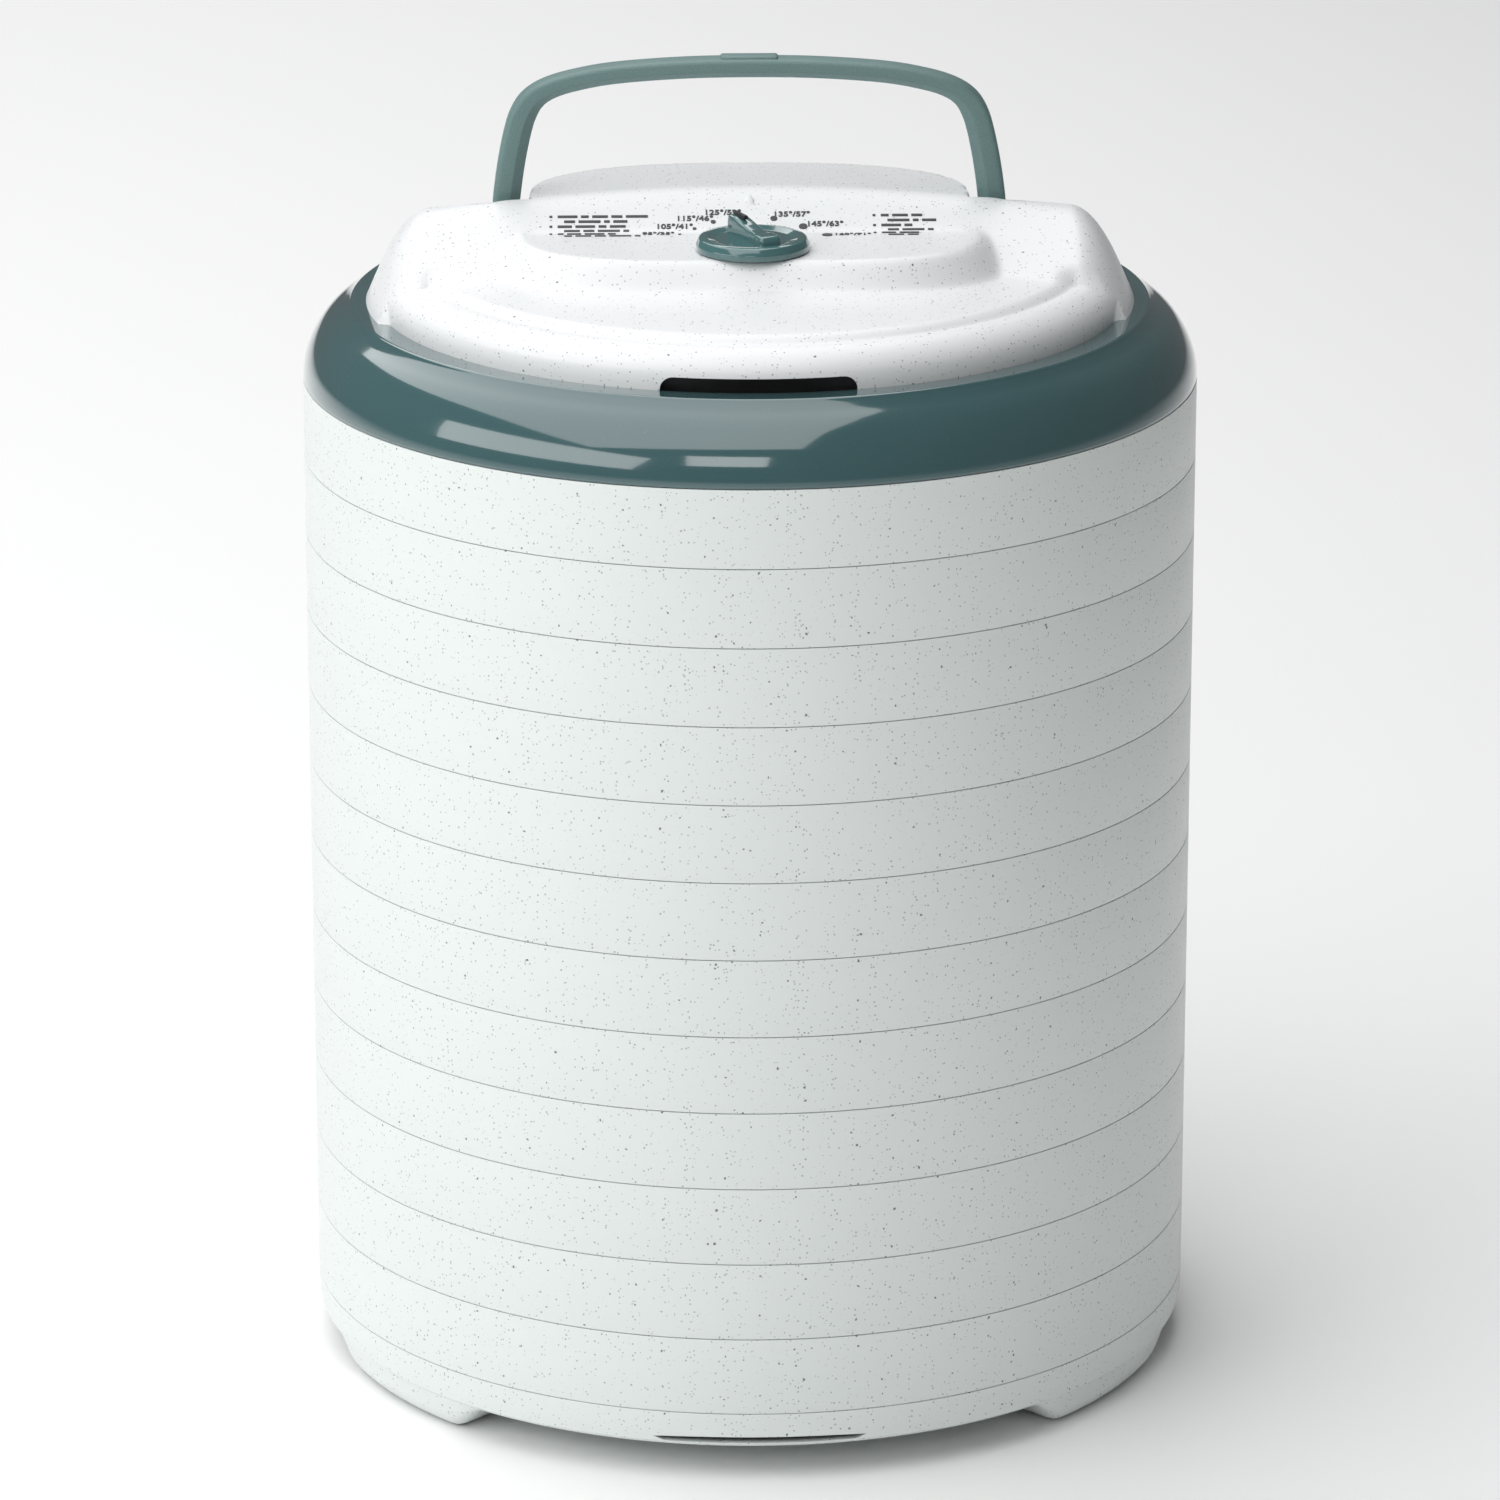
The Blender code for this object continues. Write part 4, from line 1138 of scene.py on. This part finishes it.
def makeScrews():
    screw = screwMesh(3.1, 1.7, 1.6, 17.0)
    graph = Graph("lidScrews", {"Radius": "Float", "Count": "Int", "Level": "Float", "Screw": "Object"})
    given = graph.given.outputs
    index = graph.add("InputIndex").outputs[0]
    part = graph.calc("DIVIDE", graph.calc("ADD", index, 0.5), given["Count"])
    turn = graph.calc("MULTIPLY", part, 2 * math.pi)
    x = graph.calc("MULTIPLY", graph.calc("COSINE", turn), given["Radius"])
    y = graph.calc("MULTIPLY", graph.calc("SINE", turn), given["Radius"])
    where = graph.vector(x, y, given["Level"])
    points = graph.add("Points", None, {"Count": given["Count"], "Position": where})
    source = graph.add("ObjectInfo", None, {"Object": given["Screw"]})
    copies = graph.add(
        "InstanceOnPoints", None, {0: points.outputs[0], "Instance": source.outputs["Geometry"]}
    )
    graph.finish([copies.outputs[0]], steel)
    screws = graph.build(
        "lidScrews", steel, {"Radius": 0.122, "Count": 4, "Level": lidLow + 0.0010, "Screw": screw}
    )
    bpy.data.objects.remove(screw)
    screws.data.shade_smooth()
    screws.data.set_sharp_from_angle(angle=math.radians(35))
    names = [f"lid_screw_{number}" for number in range(1, 5)]
    finishPiece(screws, "lid", "steel", *names)


def makeHeater():
    graph = Graph(
        "heaterCoil",
        {
            "Ring Radius": "Float",
            "Coil Radius": "Float",
            "Turns": "Int",
            "Points": "Int",
            "Level": "Float",
            "Wire": "Float",
        },
    )
    given = graph.given.outputs
    index = graph.add("InputIndex").outputs[0]
    angle = graph.calc("DIVIDE", graph.calc("MULTIPLY", index, 2 * math.pi), given["Points"])
    twist = graph.calc("MULTIPLY", angle, given["Turns"])
    swing = graph.calc("MULTIPLY", graph.calc("COSINE", twist), given["Coil Radius"])
    radius = graph.calc("ADD", given["Ring Radius"], swing)
    rise = graph.calc("MULTIPLY", graph.calc("SINE", twist), given["Coil Radius"])
    x = graph.calc("MULTIPLY", graph.calc("COSINE", angle), radius)
    y = graph.calc("MULTIPLY", graph.calc("SINE", angle), radius)
    z = graph.calc("ADD", rise, given["Level"])
    circle = graph.add("CurvePrimitiveCircle", None, {"Resolution": given["Points"], "Radius": 0.05})
    wound = graph.add("SetPosition", None, {0: circle.outputs[0], "Position": graph.vector(x, y, z)})
    wire = graph.add("CurvePrimitiveCircle", None, {"Resolution": 6, "Radius": given["Wire"]})
    coil = graph.add("CurveToMesh", None, {0: wound.outputs[0], 1: wire.outputs[0]})
    graph.finish([coil.outputs[0]], darkSteel)
    values = {"Ring Radius": 0.062, "Coil Radius": 0.0026, "Turns": 96, "Points": 1536}
    values.update({"Level": lidLow + 0.0114, "Wire": 0.00045})
    coil = graph.build("heatingCoil", darkSteel, values)
    coil.data.shade_smooth()
    finishPiece(coil, "lid", "steel", "heater_coil")


def makeFan():
    look = {"blades": 5, "twist": 30.0, "tipTwist": 14.0}
    blade = []
    rows, columns = 14, 12
    for i in range(rows + 1):
        t = i / rows
        radius = 7.5 + (86.5 - 7.5) * t
        half = 9.0 + 8.5 * math.sin(min(t * 1.25, 1.0) * math.pi / 2) - 5.0 * max(t - 0.8, 0) / 0.2
        lean = math.radians(look["twist"] + (look["tipTwist"] - look["twist"]) * min(t * 1.6, 1.0))
        lean *= min(1.0, 15.0 / half)
        for side in (1, -1):
            for k in range(columns + 1) if side == 1 else reversed(range(columns + 1)):
                s = (k / columns * 2 - 1) * half
                camber = 1.1 * (1 - (s / half) ** 2)
                thick = 0.75 * math.sqrt(max(1 - (s / half) ** 2, 0.0)) * side
                rise = math.sin(lean) * s * 0.78 + camber + thick
                blade.append((radius * mm, math.cos(lean) * s * mm, (19.6 + rise) * mm + lidLow))
    n = 2 * (columns + 1)
    faces = []
    for i in range(rows):
        for k in range(n):
            after = (k + 1) % n
            faces.append((i * n + k, i * n + after, (i + 1) * n + after, (i + 1) * n + k))
    faces.append(tuple(range(n)))
    faces.append(tuple(reversed(range(rows * n, (rows + 1) * n))))
    source = addMesh("fanBlade", blade, faces, black)
    fixNormals(source.data, 1e-5)
    graph = Graph("fanBlades", {"Count": "Int", "Blade": "Object"})
    given = graph.given.outputs
    index = graph.add("InputIndex").outputs[0]
    turn = graph.calc("DIVIDE", graph.calc("MULTIPLY", index, 2 * math.pi), given["Count"])
    around = graph.add("FunctionNodeEulerToRotation", None, {0: graph.vector(0.0, 0.0, turn)})
    points = graph.add("Points", None, {"Count": given["Count"]})
    info = graph.add("ObjectInfo", None, {"Object": given["Blade"]})
    copies = graph.add(
        "InstanceOnPoints",
        None,
        {0: points.outputs[0], "Instance": info.outputs["Geometry"], "Rotation": around.outputs[0]},
    )
    graph.finish([copies.outputs[0]], black)
    blades = graph.build("fanBlades", black, {"Count": look["blades"], "Blade": source})
    bpy.data.objects.remove(source)
    hub = revolve(
        "fanHub",
        fillet([(9.2, 25.0, 1.0), (9.2, 14.2, 0.5), (2.8, 14.2, 0), (2.8, 25.0, 0)], 4),
        black,
        48,
        lidLow,
    )
    fan = merge("fanRotor", [blades, hub], black, 40.0)
    finishPiece(fan, "fan", "black_plastic", "fan_blade")


def makeGland():
    profile = fillet(
        [(5.4, 13.5, 1.0), (5.4, 2.5, 0), (7.5, 2.5, 0), (7.5, 0, 0.8), (3.3, 0, 0.6), (3.3, 13.5, 0.6)],
        4,
    )
    gland = revolve("cordGland", profile, black, 48)
    spot = Matrix.Translation((0, 0.1570, lidLow + 0.012))
    place(gland, spot @ Matrix.Rotation(math.radians(-90), 4, "X"))
    finishPiece(gland, "lid", "black_plastic", "cord_inlet")


def dressCad():
    # these keep their CAD shape and get a finish of their own
    looks = {
        "motor_core": darkSteel,
        "motor_coil": copper,
        "upper_bearing_bracket": steel,
        "lower_bearing_bracket": steel,
        "motor_rotor": darkSteel,
        "motor_plate": steel,
        "motor_plate_screw_left": steel,
        "motor_plate_screw_right": steel,
        "motor_bolt_left": steel,
        "motor_bolt_right": steel,
        "thermostat_body": black,
        "dial_spindle": steel,
        "heater_frame": mica,
        "thermal_fuse": steel,
        "supply_lead": sleeve,
        "motor_lead": sleeve,
        "heater_lead": sleeve,
    }
    for node, material in looks.items():
        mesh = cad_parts[node].data
        mesh.materials.clear()
        mesh.materials.append(material)


makeGuard()
makeScrews()
makeHeater()
makeFan()
makeGland()
dressCad()
print("inside made")


studio = {
    "floor": rgba(0.97, 0.97, 0.97),
    "world": 0.12,
    "key": 11.0,
    "fill": 9.5,
    "overhead": 162.0,
    "lens": 184.3,
    "cameraTurn": -1.3,
    "cameraAway": 2.855,
    "cameraHeight": 1.1500,
    "pitch": 17.76,
    "roll": 0.0,
}


def addLight(name, boxSize, power, at, aim, colour=(1, 1, 1)):
    data = bpy.data.lights.new(name, "AREA")
    data.shape = "RECTANGLE"
    data.size, data.size_y = boxSize
    data.energy = power
    data.color = colour
    light = bpy.data.objects.new(name, data)
    scene.collection.objects.link(light)
    light.location = at
    light.rotation_euler = (Vector(aim) - Vector(at)).to_track_quat("-Z", "Y").to_euler()


def makeStudio():
    floorLook = Finish("paleFloor")
    cloud = floorLook.noise(1.5, 2.0)
    pale = rgba(0.985, 0.985, 0.985)
    floorLook.set(Base_Color=floorLook.mix(cloud, studio["floor"], pale), Roughness=0.8)
    corners = [(-6, -6, -0.0005), (6, -6, -0.0005), (6, 6, -0.0005), (-6, 6, -0.0005)]
    floor = addMesh("studioFloor", corners, [(0, 1, 2, 3)], floorLook.material)
    world = bpy.data.worlds.new("studioWorld")
    world.use_nodes = True
    world.node_tree.nodes["Background"].inputs[0].default_value = rgba(0.98, 0.99, 1.0)
    world.node_tree.nodes["Background"].inputs[1].default_value = studio["world"]
    scene.world = world
    addLight("keyBox", (1.9, 0.65), studio["key"], (-1.45, -0.95, 0.95), (0, 0, 0.3))
    addLight("fillBox", (1.2, 0.8), studio["fill"], (-0.4, -3.2, 1.9), (0, 0, 0.3))
    addLight("overheadBox", (3.6, 7.4), studio["overhead"], (-1.1, 0.8, 2.9), (-1.1, 0.8, 0))
    camera = bpy.data.objects.new("camera", bpy.data.cameras.new("camera"))
    scene.collection.objects.link(camera)
    camera.data.lens = studio["lens"]
    camera.data.sensor_width = 36.0
    turn = math.radians(studio["cameraTurn"])
    away = studio["cameraAway"]
    camera.location = (away * math.sin(turn), -away * math.cos(turn), studio["cameraHeight"])
    look = (
        Matrix.Rotation(turn, 4, "Z")
        @ Matrix.Rotation(math.radians(90 - studio["pitch"]), 4, "X")
        @ Matrix.Rotation(math.radians(studio["roll"]), 4, "Z")
    )
    camera.rotation_euler = look.to_euler()
    scene.camera = camera
    scene.view_settings.view_transform = "Standard"


makeStudio()
print("studio made")
